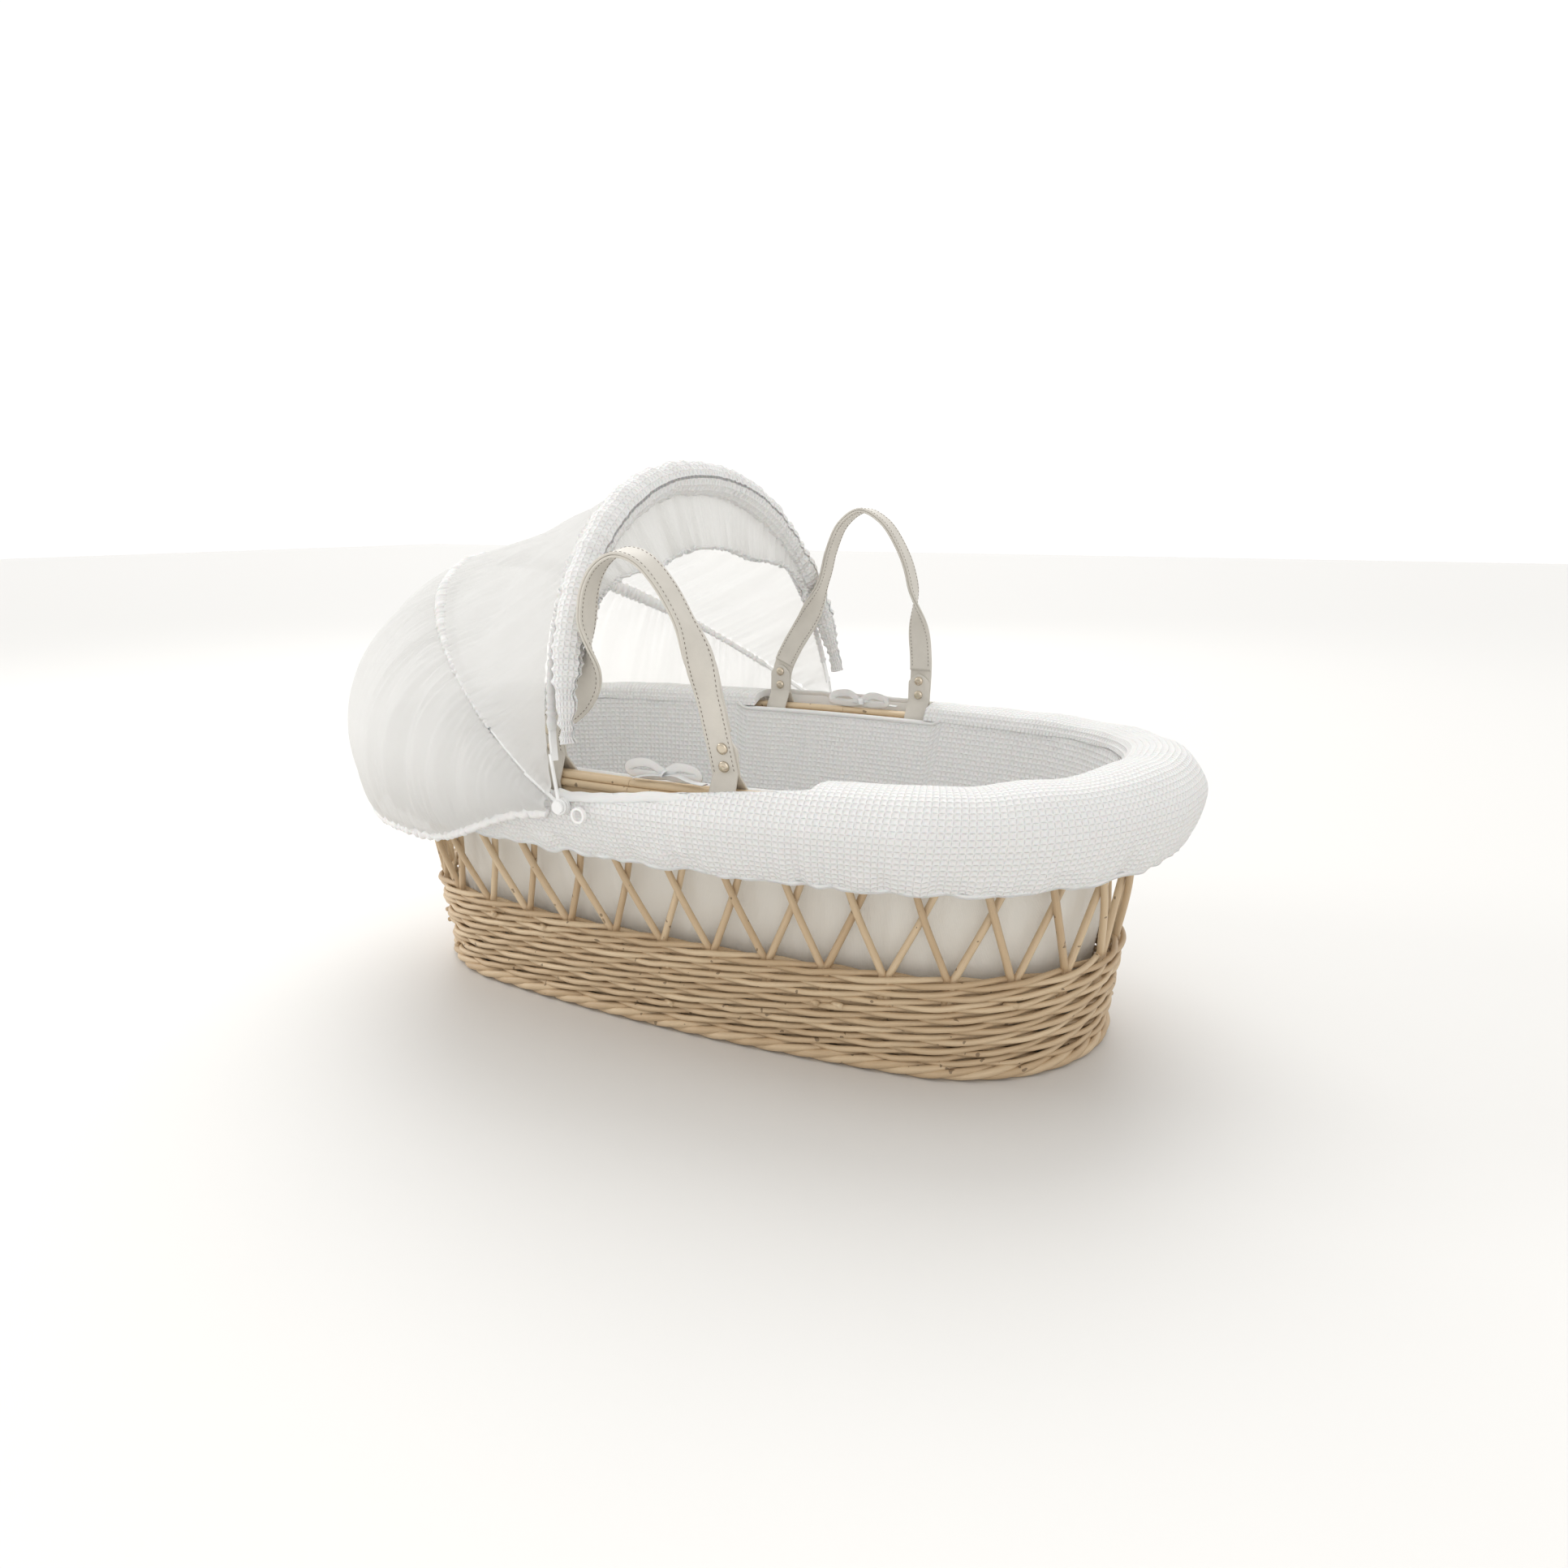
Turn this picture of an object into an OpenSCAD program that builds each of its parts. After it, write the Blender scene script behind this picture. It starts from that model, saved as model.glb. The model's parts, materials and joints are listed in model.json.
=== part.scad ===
// Wicker baby basket (Moses basket) with a padded liner, two leather carrying
// handles and a folding hood.
// Frame: origin on the floor at the centre of the foot border, +X to the foot
// end, -X to the head end under the hood, +Z up.

/* [Basket] */
// Half length of the wicker wall at the floor
base_a = 360; // [330:1:380]
// Half width of the wicker wall at the floor
base_b = 158; // [145:1:170]
// Half length of the wicker wall at the rim
rim_a = 397; // [370:1:420]
// Half width of the wicker wall at the rim
rim_b = 219.5; // [205:0.5:232]
// Height of the centre of the rim bundle
rim_z = 249; // [235:1:262]
// Roundness of the ends: end radius over half width
end_round = 0.905; // [0.86:0.005:0.94]
// Height where the solid weave ends and the open stakes begin
wale_z = 99; // [80:1:120]

/* [Willow rods] */
// Radius of a stake
stake_r = 3.5; // [3:0.1:3.8]
// Number of stake pairs round the basket
stake_pairs = 34; // [30:2:34]
// Radius of a weaving rod
weave_r = 4.2; // [3.6:0.1:4.4]
// Number of weaving rows
weave_rows = 8; // [5:1:8]
// Radius of a rod in the rim bundle
rim_rod_r = 3.4; // [3:0.1:3.5]
// Radius of a base stick
base_stick_r = 4; // [3:0.5:4.5]

/* [Liner and mattress] */
// Thickness of the padded inner wall
pad_t = 8; // [5:0.5:9]
// Height of the lower edge of the skirt
skirt_z = 192; // [186:1:198]
// How far the padded roll stands out from the wicker wall
roll_out = 49; // [44:1:52]
// Thickness of the mattress core
mattress_t = 32; // [25:1:40]

/* [Handles] */
// Width of a handle strap
strap_w = 25; // [22:1:28]
// Thickness of one leather layer
leather_t = 2.2; // [1.8:0.1:2.4]
// Outward lean of the near handle at rest
near_lean = 9; // [4:1:10]
// Outward lean of the far handle at rest
far_lean = 1; // [0:1:3]

/* [Hood] */
// Half width of the hood between its pivots
hood_w = 268; // [266:1:270]
// Height of the front hoop above the pivots, along its own plane
front_h = 280; // [260:1:300]
// Height of the middle hoop above the pivots, along its own plane
mid_h = 352; // [340:1:356]
// Lean of the front hoop from the vertical, towards the head end
front_lean = 9.5; // [8:0.5:12]
// Lean of the middle hoop from the vertical, towards the head end
mid_lean = 56.5; // [52:0.5:58]
// Thickness of the canopy cloth as drawn
cloth_t = 2.4; // [1.6:0.1:3]

/* [Hidden] */

// Colours
willow = "burlywood";
willow_dark = "tan";
white_cotton = "white";
waffle = "whitesmoke";
leather = "gainsboro";
nickel = "silver";
plastic = "ghostwhite";

// Small distances
fine = 96;
gap = 0.4;
eps = 0.01;

// ---- Plan outline: an oval of four tangent arcs, worked out at every height ----
function wall_a(z) = base_a + (rim_a - base_a) * z / rim_z;
function wall_b(z) = base_b + (rim_b - base_b) * z / rim_z;
function wall_r(z) = end_round * wall_b(z);
function side_radius(a, b, r) = ((a - r) * (a - r) + b * b - r * r) / (2 * (b - r));
function meet_angle(a, b, r) = atan2(side_radius(a, b, r) - b, a - r);

// A point of the first quarter, s along the outline from the +X tip, and its normal angle
function quarter_angle(s, r, big, meet) =
    s < r * meet * PI / 180 ? s / r * 180 / PI
    : meet + (s - r * meet * PI / 180) / big * 180 / PI;
function quarter_length(r, big, meet) = (r * meet + big * (90 - meet)) * PI / 180;
function quarter_point(t, a, b, r, big, meet) =
    t < meet ? [a - r + r * cos(t), r * sin(t)] : [big * cos(t), b - big + big * sin(t)];

// A point at share u of the way round the wall, moved out by off, at height z
function wall_point(u, off, z) =
    let (
        a = wall_a(z), b = wall_b(z), r = wall_r(z),
        big = side_radius(a, b, r), meet = meet_angle(a, b, r),
        turn = (u - floor(u)) * 4, q = floor(turn), part = turn - q,
        t = quarter_angle((q % 2 == 0 ? part : 1 - part) * quarter_length(r, big, meet), r, big, meet),
        p = quarter_point(t, a, b, r, big, meet),
        sx = (q == 1 || q == 2) ? -1 : 1,
        sy = q > 1 ? -1 : 1
    )
    [sx * (p[0] + off * cos(t)), sy * (p[1] + off * sin(t)), z];

// Share of the way round at which the wall passes a given x on the far side (y > 0)
function share_at(x, z) =
    let (
        a = wall_a(z), b = wall_b(z), r = wall_r(z),
        big = side_radius(a, b, r), meet = meet_angle(a, b, r),
        q = quarter_length(r, big, meet)
    )
    0.25 - asin(x / big) * PI / 180 * big / q / 4;

outline_steps = 144;
module wall_oval(off, z) {
    polygon([
        for (i = [0 : outline_steps - 1])
        let (p = wall_point(i / outline_steps, off, z))
        [p[0], p[1]]
    ]);
}

// ---- Sweeps ----
// Joins rings of points into a closed tube, or into an open one with flat caps;
// flip swaps the diagonal that splits each face
module skin(rings, closed = true, flip = false) {
    n = len(rings[0]);
    m = len(rings);
    last = closed ? m : m - 1;
    sides = [
        for (i = [0 : last - 1]) for (j = [0 : n - 1])
        let (k = (i + 1) % m, l = (j + 1) % n)
        each flip
            ? [[i * n + j, i * n + l, k * n + j], [i * n + l, k * n + l, k * n + j]]
            : [[i * n + j, i * n + l, k * n + l], [i * n + j, k * n + l, k * n + j]]
    ];
    caps = closed ? [] : [
        [for (j = [n - 1 : -1 : 0]) j],
        [for (j = [0 : n - 1]) (m - 1) * n + j]
    ];
    polyhedron(points = [for (r = rings) each r], faces = concat(sides, caps), convexity = 10);
}

function unit(v) = v / norm(v);
function path_tangent(path, i) =
    unit(path[min(i + 1, len(path) - 1)] - path[max(i - 1, 0)]);

// A round tube along a path of points; one reference direction serves the whole tube
module tube(path, radius, sides = 8) {
    chord = unit(path[len(path) - 1] - path[0]);
    flat = abs(chord[2]) > 0.7 ? [1, 0.3, 0] : [0, 0, 1];
    rings = [
        for (i = [0 : len(path) - 1])
        let (
            t = path_tangent(path, i),
            u = unit(cross(t, flat)), v = cross(t, u)
        )
        [for (j = [0 : sides - 1]) path[i] + radius * (cos(360 * j / sides) * u + sin(360 * j / sides) * v)]
    ];
    skin(rings, closed = false);
}

// A cylinder from one point to another
module rod_between(p, q, radius) {
    d = q - p;
    translate(p)
        rotate([0, acos(d[2] / norm(d)), atan2(d[1], d[0])])
        cylinder(h = norm(d), r = radius, $fn = 24);
}

// One willow ring made of separate rods laid end to end round the wall
ring_end_rods = 3;
ring_side_rods = 2;
module ring_of_rods(off, z, radius, shape_z) {
    a = wall_a(shape_z);
    b = wall_b(shape_z);
    r = wall_r(shape_z);
    big = side_radius(a, b, r);
    meet = meet_angle(a, b, r);
    for (turn = [0, 180]) rotate([0, 0, turn]) {
        translate([a - r, 0, z]) arc_rods(r + off, -meet, meet, ring_end_rods, radius);
        translate([0, b - big, z]) arc_rods(big + off, meet, 180 - meet, ring_side_rods, radius);
    }
}

module arc_rods(bend_r, from, to, count, radius) {
    step = (to - from) / count;
    space = gap / bend_r * 180 / PI;
    for (i = [0 : count - 1])
        rotate([0, 0, from + i * step + space / 2])
        rotate_extrude(angle = step - space, $fn = 4 * fine)
        translate([bend_r, 0]) circle(radius, $fn = 24);
}

// ---- Basket ----
foot_h = 13;
foot_inner_h = 10;
module foot_border() {
    color(willow_dark) {
        linear_extrude(foot_h) difference() {
            wall_oval(10, 0);
            wall_oval(0.4, 0);
        }
        linear_extrude(foot_inner_h) difference() {
            wall_oval(0, 0);
            wall_oval(-9.5, 0);
        }
    }
}

// Half width of the oval floor inside the foot border at a given x
floor_in = -11;
function floor_half_width(x) =
    let (
        a = base_a + floor_in, b = base_b + floor_in, r = end_round * base_b + floor_in,
        big = side_radius(a, b, r), join_x = a - r + r * cos(meet_angle(a, b, r))
    )
    abs(x) < join_x ? sqrt(big * big - x * x) - (big - b)
    : sqrt(max(0, r * r - (abs(x) - (a - r)) * (abs(x) - (a - r))));
function floor_half_length(y) =
    let (r = end_round * base_b + floor_in)
    base_a + floor_in - r + sqrt(max(0, r * r - y * y));

cross_z = 6;
cross_pitch = 46;
module base_cross_sticks() {
    color(willow)
        for (i = [-7 : 7])
        let (x = i * cross_pitch, half = floor_half_width(x) - 5)
        rod_between([x, -half, cross_z], [x, half, cross_z], base_stick_r);
}

long_pitch = 26;
module base_long_sticks() {
    color(willow_dark)
        for (i = [-5 : 5])
        let (y = i * long_pitch, half = floor_half_length(y) - 10)
        rod_between(
            [-half, y, cross_z + 2 * base_stick_r + gap],
            [half, y, cross_z + 2 * base_stick_r + gap],
            base_stick_r
        );
}

// A stake stands in the weave, leans to the next pair and ends under the rim
stake_start = foot_h + 1;
cross_h = wale_z + 0.5 * (rim_z - wale_z);
stake_end = rim_z - 3 * rim_rod_r - 1.6;
pair_half = stake_r + 0.4;
cross_off = stake_r + 0.7;
module stake(i, dir) {
    step = 1 / stake_pairs;
    u = (i + 0.5) * step;
    side = dir * pair_half / (quarter_length(wall_r(wale_z),
        side_radius(wall_a(wale_z), wall_b(wale_z), wall_r(wale_z)),
        meet_angle(wall_a(wale_z), wall_b(wale_z), wall_r(wale_z))) * 4);
    foot = wall_point(u + side, 0, stake_start);
    knee = wall_point(u + side, 0, wale_z);
    middle = wall_point(u + dir * step / 2, -dir * cross_off, cross_h);
    top = wall_point(u + dir * step - side, 0, stake_end);
    tube([foot, knee, middle, top], stake_r, 8);
}

module stakes_forward() {
    color(willow) for (i = [0 : stake_pairs - 1]) stake(i, 1);
}

module stakes_backward() {
    color(willow) for (i = [0 : stake_pairs - 1]) stake(i, -1);
}

weave_off = stake_r + weave_r + 0.3;
weave_pitch = (wale_z - foot_h - 2 * weave_r - 1) / (weave_rows - 1);
module weave_rods(off) {
    for (row = [0 : weave_rows - 1])
        let (z = foot_h + 1 + weave_r + row * weave_pitch)
        ring_of_rods(off, z, weave_r, z);
}

module weave_outer_rods() {
    color(willow_dark) weave_rods(weave_off);
}

module weave_inner_rods() {
    color(willow_dark) weave_rods(-weave_off);
}

module rim_core_rod() {
    color(willow) ring_of_rods(0, rim_z, rim_rod_r, rim_z);
}

rim_rods = 6;
rim_spread = 2 * rim_rod_r + 0.1;
module rim_bundle_rods() {
    color(willow)
        for (k = [0 : rim_rods - 1])
        ring_of_rods(
            rim_spread * cos(360 * k / rim_rods),
            rim_z + rim_spread * sin(360 * k / rim_rods),
            rim_rod_r,
            rim_z
        );
}

// ---- Liner ----
ring_steps = 72;
bag_off = -16.6;
bag_t = 1.4;
bag_floor_z = 20;
bag_top_z = rim_z - 3;

// Rings of a thin bag: up the outside, over the edge and down the inside
module cup(out_off, thick, z0, z1, floor_t) {
    levels = [for (k = [0 : 3]) z0 + (z1 - z0) * k / 3];
    inner_levels = [z1, levels[2], levels[1], z0 + floor_t];
    function ring(off, z, k) =
        [for (i = [0 : ring_steps - 1]) wall_point(i / ring_steps, off, z)];
    rings = concat(
        [for (k = [0 : 3]) ring(out_off, levels[k], k)],
        [for (k = [0 : 3]) ring(out_off - thick, inner_levels[k], k)]
    );
    skin(rings, closed = false);
}

module liner_bag() {
    color(white_cotton) cup(bag_off, bag_t, bag_floor_z, bag_top_z, bag_t);
}

// Slots in the liner let the handles out; their ends along X, near and far
slot_near = [-106, 178];
slot_far = [-107, 112];
slot_ease = 20;
slot_margin = 30;
function smooth(t) = let (c = max(0, min(1, t))) c * c * (3 - 2 * c);
function slot_depth_at(x, slot) =
    smooth((x - slot[0] + slot_margin) / slot_ease)
    * smooth((slot[1] + slot_margin - x) / slot_ease);
function in_slot(p) = slot_depth_at(p[0], p[1] < 0 ? slot_near : slot_far);

// Padded inner wall, lower where the slots are
pad_off = bag_off - bag_t - 1.2;
pad_z0 = 24;
pad_top = rim_z + 12;
pad_slot_top = rim_z + 3;
module liner_wall_pad() {
    rings = [
        for (i = [0 : ring_steps - 1])
        let (
            u = i / ring_steps,
            top = pad_top + (pad_slot_top - pad_top) * in_slot(wall_point(u, 0, rim_z)),
            mid = (pad_z0 + top) / 2
        )
        [
            wall_point(u, pad_off, pad_z0), wall_point(u, pad_off, mid),
            wall_point(u, pad_off, top - 2), wall_point(u, pad_off - pad_t / 2, top),
            wall_point(u, pad_off - pad_t, top - 2), wall_point(u, pad_off - pad_t, mid),
            wall_point(u, pad_off - pad_t, pad_z0)
        ]
    ];
    color(waffle) skin(rings);
}

// Outline of the padded roll across the rim, as [off, z]; it starts at the
// inner edge, passes over the crest and ends at the skirt's lower edge, then
// comes back along the inside
roll_crest_z = rim_z + 22.5;
roll_profile = [
    [-26.5, pad_top + 1.5], [-23, roll_crest_z - 3], [-8, roll_crest_z],
    [8, roll_crest_z], [24, roll_crest_z - 4], [38, roll_crest_z - 15],
    [roll_out - 2, roll_crest_z - 29], [roll_out, roll_crest_z - 44],
    [roll_out - 3, skirt_z + 16], [roll_out - 9, skirt_z],
    [roll_out - 15, skirt_z + 1], [roll_out - 18, skirt_z + 20],
    [roll_out - 22, rim_z - 12], [20, rim_z + 4], [13, rim_z + 12],
    [0, rim_z + 14.5], [-13, pad_top + 1.5]
];
// The slot is cut through the crown of the roll; along its outer edge each row gives
// the place along the basket and how far outside the rim the edge lies there
slot_in = -42;
slot_curve_r = 1150;
near_edge = [
    [-106, 26], [-90, 36], [-62, 42], [-36, 43.5], [0, 42], [50, 38],
    [100, 35], [140, 31], [165, 26], [178, 21]
];
far_edge = [[-107, 19], [-80, 22], [0, 23], [80, 22], [112, 19]];
roll_end_rise = 7;

// How far the rim has curved in from its widest at x
function rim_drop(x) = slot_curve_r - sqrt(slot_curve_r * slot_curve_r - x * x);

module slot_cutter(side, edge) {
    outer = [for (e = edge) [e[0], rim_b + e[1] - rim_drop(e[0])]];
    ends = [[edge[len(edge) - 1][0], rim_b + slot_in], [edge[0][0], rim_b + slot_in]];
    mirror([0, side < 0 ? 1 : 0, 0])
        translate([0, 0, rim_z - 4])
        linear_extrude(40)
        polygon(concat(outer, ends));
}

module liner_roll() {
    rings = [
        for (i = [0 : ring_steps - 1])
        let (
            u = i / ring_steps,
            far_out = abs(wall_point(u, 0, rim_z)[0]) / rim_a,
            rise = roll_end_rise * pow(far_out, 6)
        )
        [for (p = roll_profile) wall_point(u, p[0], p[1] + rise)]
    ];
    color(waffle) difference() {
        skin(rings);
        slot_cutter(-1, near_edge);
        slot_cutter(1, far_edge);
    }
}

// Elastic gathered in the lower edge of the skirt
elastic_r = 2;
module skirt_elastic() {
    rings = [
        for (i = [0 : ring_steps - 1])
        let (u = i / ring_steps)
        [
            for (k = [0 : 5])
            wall_point(
                u,
                roll_out - 12 + elastic_r * cos(60 * k),
                skirt_z - elastic_r - 1 + elastic_r * sin(60 * k)
            )
        ]
    ];
    color(white_cotton) skin(rings);
}

// Bias binding round the outer edge of a slot
binding_r = 3;
binding_steps = 20;
binding_end = 12;
crown_heights = [[20, 269.3], [24, 267.5], [31, 263], [38, 256.5], [42, 250.8], [44, 247.8]];
function slot_edge(side, edge, k) =
    let (
        first = edge[0][0] + binding_end,
        last = edge[len(edge) - 1][0] - binding_end,
        x = first + (last - first) * k / binding_steps,
        off = lookup(x, edge)
    )
    [
        x,
        side * (rim_b + off - rim_drop(x) - binding_r - 1.4),
        max(lookup(off, crown_heights) - 3, rim_z - 4 + binding_r + 0.4)
    ];

module slot_binding(side, edge) {
    color(white_cotton)
        tube([for (k = [0 : binding_steps]) slot_edge(side, edge, k)], binding_r, 8);
}

module slot_binding_near() {
    slot_binding(-1, near_edge);
}

module slot_binding_far() {
    slot_binding(1, far_edge);
}

// A ribbon bow lying on the rim: a knot, two loops and two tails
module bow(x, side, spread) {
    z = rim_z + 2 * rim_rod_r + rim_rod_r + 4.5;
    y = side * (rim_b - 2);
    color(white_cotton) translate([x, y, z]) {
        rotate([90, 0, 0]) cylinder(h = 7, r = 3.4, center = true, $fn = 48);
        for (dir = [-1, 1]) {
            translate([dir * (3 + spread / 2), 0, 0])
                rotate([90, 0, 0])
                cylinder(h = 6, r = spread / 2, center = true, $fn = 48);
            translate([dir > 0 ? 1 : -15, -2.5, -spread / 2 - 0.5])
                cube([dir > 0 ? 26 : 14, 5, 1.2]);
        }
    }
}

module liner_tie_near() {
    bow(34, -1, 5);
}

module liner_tie_far() {
    bow(20, 1, 5);
}

// ---- Mattress ----
mattress_in = pad_off - pad_t - 3;
mattress_z = bag_floor_z + bag_t + 3;
sheet_t = 1.2;
module mattress_core() {
    color("ivory")
        translate([0, 0, mattress_z])
        linear_extrude(mattress_t)
        wall_oval(mattress_in - sheet_t - 0.4, mattress_z);
}

// Fitted sheet: over the top, down the sides and a little way underneath
sheet_lip = 30;
module mattress_sheet() {
    in = mattress_in;
    color(white_cotton) translate([0, 0, mattress_z - sheet_t - 0.3]) difference() {
        linear_extrude(mattress_t + 2 * sheet_t + 0.6) wall_oval(in, mattress_z);
        translate([0, 0, sheet_t])
            linear_extrude(mattress_t + 0.6)
            wall_oval(in - sheet_t, mattress_z);
        translate([0, 0, -1])
            linear_extrude(mattress_t)
            wall_oval(in - sheet_lip, mattress_z);
    }
}

// ---- Handles ----
// Everything is drawn standing upright on the rim bundle: x along the rim, y
// outwards, z up from the centre of the bundle
handle_feet = [-85, 95];
loop_r = 3 * rim_rod_r + 2.1 + leather_t / 2;
handle_y = rim_b - 3.5;
loop_half = 38;
loop_top = loop_r / sin(loop_half);
layer_off = leather_t / 2 + 0.15;
tab_top = 55;
stud_z = [31, 47];

// Centre line of the arch, x and height, from the left foot to the right foot
near_arch = [
    [-85, 24], [-85, 44], [-78, 57], [-60, 68], [-44, 82], [-33, 102], [-30, 128],
    [-28, 154], [-20, 180], [-5, 199], [15, 208], [36, 202], [54, 182], [68, 155],
    [79, 124], [86, 90], [91, 56], [95, 24]
];
far_arch = [
    [-85, 24], [-83, 50], [-70, 78], [-48, 114], [-29, 158], [-20, 192], [-6, 222],
    [19, 238], [46, 226], [66, 200], [80, 168], [90, 118], [96, 70], [95, 24]
];

function spline(p, t) =
    let (
        n = len(p) - 1, i = min(floor(t * n), n - 1), f = t * n - i,
        a = p[max(i - 1, 0)], b = p[i], c = p[i + 1], d = p[min(i + 2, n)]
    )
    0.5 * (2 * b + (c - a) * f + (2 * a - 5 * b + 4 * c - d) * f * f
    + (3 * b - a - 3 * c + d) * f * f * f);

// The strap's face turns from outwards at the feet to upwards over the arch
arch_steps = 64;
flat_height = 88;
turn_height = 70;
function arch_frame(arch, t) =
    let (
        p = spline(arch, t),
        d = spline(arch, min(t + 0.01, 1)) - spline(arch, max(t - 0.01, 0)),
        tan = unit([d[0], 0, d[1]]),
        up = cross([0, 1, 0], tan),
        turn = 90 * smooth((p[1] - flat_height) / turn_height),
        n = [0, 1, 0] * cos(turn) - up * sin(turn)
    )
    [[p[0], 0, p[1]], n, cross(n, tan)];

// A flat strip of leather: a list of [centre, face normal, width direction]
module leather_strip(frames, off, flip = false) {
    rings = [
        for (f = frames)
        [
            f[0] + f[1] * (off - leather_t / 2) - f[2] * strap_w / 2,
            f[0] + f[1] * (off + leather_t / 2) - f[2] * strap_w / 2,
            f[0] + f[1] * (off + leather_t / 2) + f[2] * strap_w / 2,
            f[0] + f[1] * (off - leather_t / 2) + f[2] * strap_w / 2
        ]
    ];
    skin(rings, closed = false, flip = flip);
}

// The loop under the rim: from the merge point on the outside round to the tab.
// The strip's own offset is taken off again, so that the frames give its middle
function loop_frames(x, width_dir) =
    let (
        across = [width_dir, 0, 0],
        ring = [
            for (k = [0 : 16])
            let (a = 90 - loop_half + (180 + 2 * loop_half) * k / 16)
            [[x, (loop_r - layer_off) * sin(a), (loop_r - layer_off) * cos(a)], [0, sin(a), cos(a)], across]
        ],
        tab = [
            for (h = [loop_top + 1, tab_top])
            [[x, 0, h], [0, -1, 0], across]
        ]
    )
    concat(ring, tab);

module handle_strap(arch) {
    right = loop_frames(handle_feet[1], -1);
    left = loop_frames(handle_feet[0], 1);
    middle = [for (k = [0 : arch_steps]) arch_frame(arch, k / arch_steps)];
    frames = concat([for (k = [len(left) - 1 : -1 : 0]) left[k]], middle, right);
    color(leather) difference() {
        leather_strip(frames, layer_off);
        stud_holes();
    }
}

lining_start = tab_top + 3;
module handle_lining(arch) {
    frames = [
        for (k = [0 : arch_steps])
        let (f = arch_frame(arch, k / arch_steps))
        if (f[0][2] > lining_start) f
    ];
    color(leather) leather_strip(frames, -layer_off, flip = true);
}

stud_r = 5;
stud_hole_r = 1.6;
module stud_holes() {
    for (x = handle_feet, z = stud_z)
        translate([x, 0, z])
        rotate([90, 0, 0])
        cylinder(h = 20, r = stud_hole_r, center = true, $fn = 32);
}

// Press studs: a post through both layers with a cap on each face
module handle_studs() {
    cap_in = layer_off + leather_t / 2 + 0.1;
    post_r = stud_hole_r - 0.1;
    color(nickel)
        for (x = handle_feet, z = stud_z)
        translate([x, 0, z])
        rotate([-90, 0, 0]) {
            translate([0, 0, -cap_in - 1])
                cylinder(h = 2 * cap_in + 2, r = post_r, $fn = 32);
            for (side = [-1, 1])
                translate([0, 0, side * (cap_in + 0.8)])
                cylinder(h = 1.6, r = stud_r, center = true, $fn = 48);
        }
}

module at_rim(side, lean) {
    mirror([0, side < 0 ? 1 : 0, 0])
        translate([0, handle_y, rim_z])
        rotate([-lean, 0, 0])
        children();
}

module handle_near_strap() {
    at_rim(-1, near_lean) handle_strap(near_arch);
}

module handle_near_lining() {
    at_rim(-1, near_lean) handle_lining(near_arch);
}

module handle_near_studs() {
    at_rim(-1, near_lean) handle_studs();
}

module handle_far_strap() {
    at_rim(1, far_lean) handle_strap(far_arch);
}

module handle_far_lining() {
    at_rim(1, far_lean) handle_lining(far_arch);
}

module handle_far_studs() {
    at_rim(1, far_lean) handle_studs();
}

// ---- Hood ----
pivot_x = -40;
pivot_z = 240;
front_shape = 2.15;
mid_shape = 1.84;
hoop_t = 2;
arm_t = 2.6;
hoop_w = 8;
channel_t = 5;
channel_w = 13;
pin_r = 2.5;

// Arch of a hoop in its own plane: y across, h up, t from 0 (near) to 180 (far)
function arch_point(t, w, h, n) =
    let (c = cos(t), s = max(0, sin(t)))
    [-w * sign(c) * pow(abs(c), 2 / n), h * pow(s, 2 / n)];
function hoop_point(t, w, h, n, lean) =
    let (p = arch_point(t, w, h, n))
    [pivot_x - p[1] * sin(lean), p[0], pivot_z + p[1] * cos(lean)];
function front_point(t) = hoop_point(t, hood_w + 2, front_h, front_shape, front_lean);
function mid_point(t) = hoop_point(t, hood_w, mid_h, mid_shape, mid_lean);

front_w = hood_w + 2;
mid_w = hood_w;

// Places a drawing made in the hoop's plane (x across, y up)
module in_hoop_plane(lean) {
    translate([pivot_x, 0, pivot_z])
        rotate([0, -lean, 0])
        rotate([90, 0, 90])
        children();
}

hoop_steps = 48;
module arch_band(w, h, n, width, t0) {
    ts = [for (k = [0 : hoop_steps]) t0 + (180 - 2 * t0) * k / hoop_steps];
    outer = [for (t = ts) arch_point(t, w + width / 2, h + width / 2, n)];
    inner = [for (k = [hoop_steps : -1 : 0]) arch_point(ts[k], w - width / 2, h - width / 2, n)];
    polygon(concat(outer, inner));
}

// A flat plastic hoop that ends in an eye at each pivot
eye_y = 272;
eye_r = 7;
eye_t = 2;
eye_hole_r = pin_r + 0.06;
module hoop(w, h, n, lean, eye_y0, start) {
    color(plastic) difference() {
        union() {
            in_hoop_plane(lean)
                translate([0, 0, -hoop_t / 2])
                linear_extrude(hoop_t)
                arch_band(w, h, n, hoop_w, start);
            for (side = [-1, 1]) {
                // the arm runs from the foot of the arch to the eye
                translate([pivot_x, side * (eye_y0 + eye_t / 2), pivot_z])
                    rotate([90, 0, 0])
                    cylinder(h = eye_t, r = eye_r, center = true, $fn = 48);
                translate([pivot_x, 0, pivot_z])
                    rotate([0, -lean, 0])
                    translate([-arm_t / 2, side > 0 ? eye_y0 + 0.1 : -eye_y0 - eye_t + 0.1, 0])
                    cube([arm_t, eye_t - 0.2, 46]);
            }
        }
        translate([pivot_x, 0, pivot_z])
            rotate([90, 0, 0])
            cylinder(h = 2 * eye_y + 20, r = eye_hole_r, center = true, $fn = 48);
    }
}

front_eye_y = 271.5;
mid_eye_y = 268.6;
module hood_front_hoop() {
    hoop(front_w, front_h, front_shape, front_lean, front_eye_y, 7);
}

module hood_mid_hoop() {
    hoop(mid_w, mid_h, mid_shape, mid_lean, mid_eye_y, 4);
}

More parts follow.
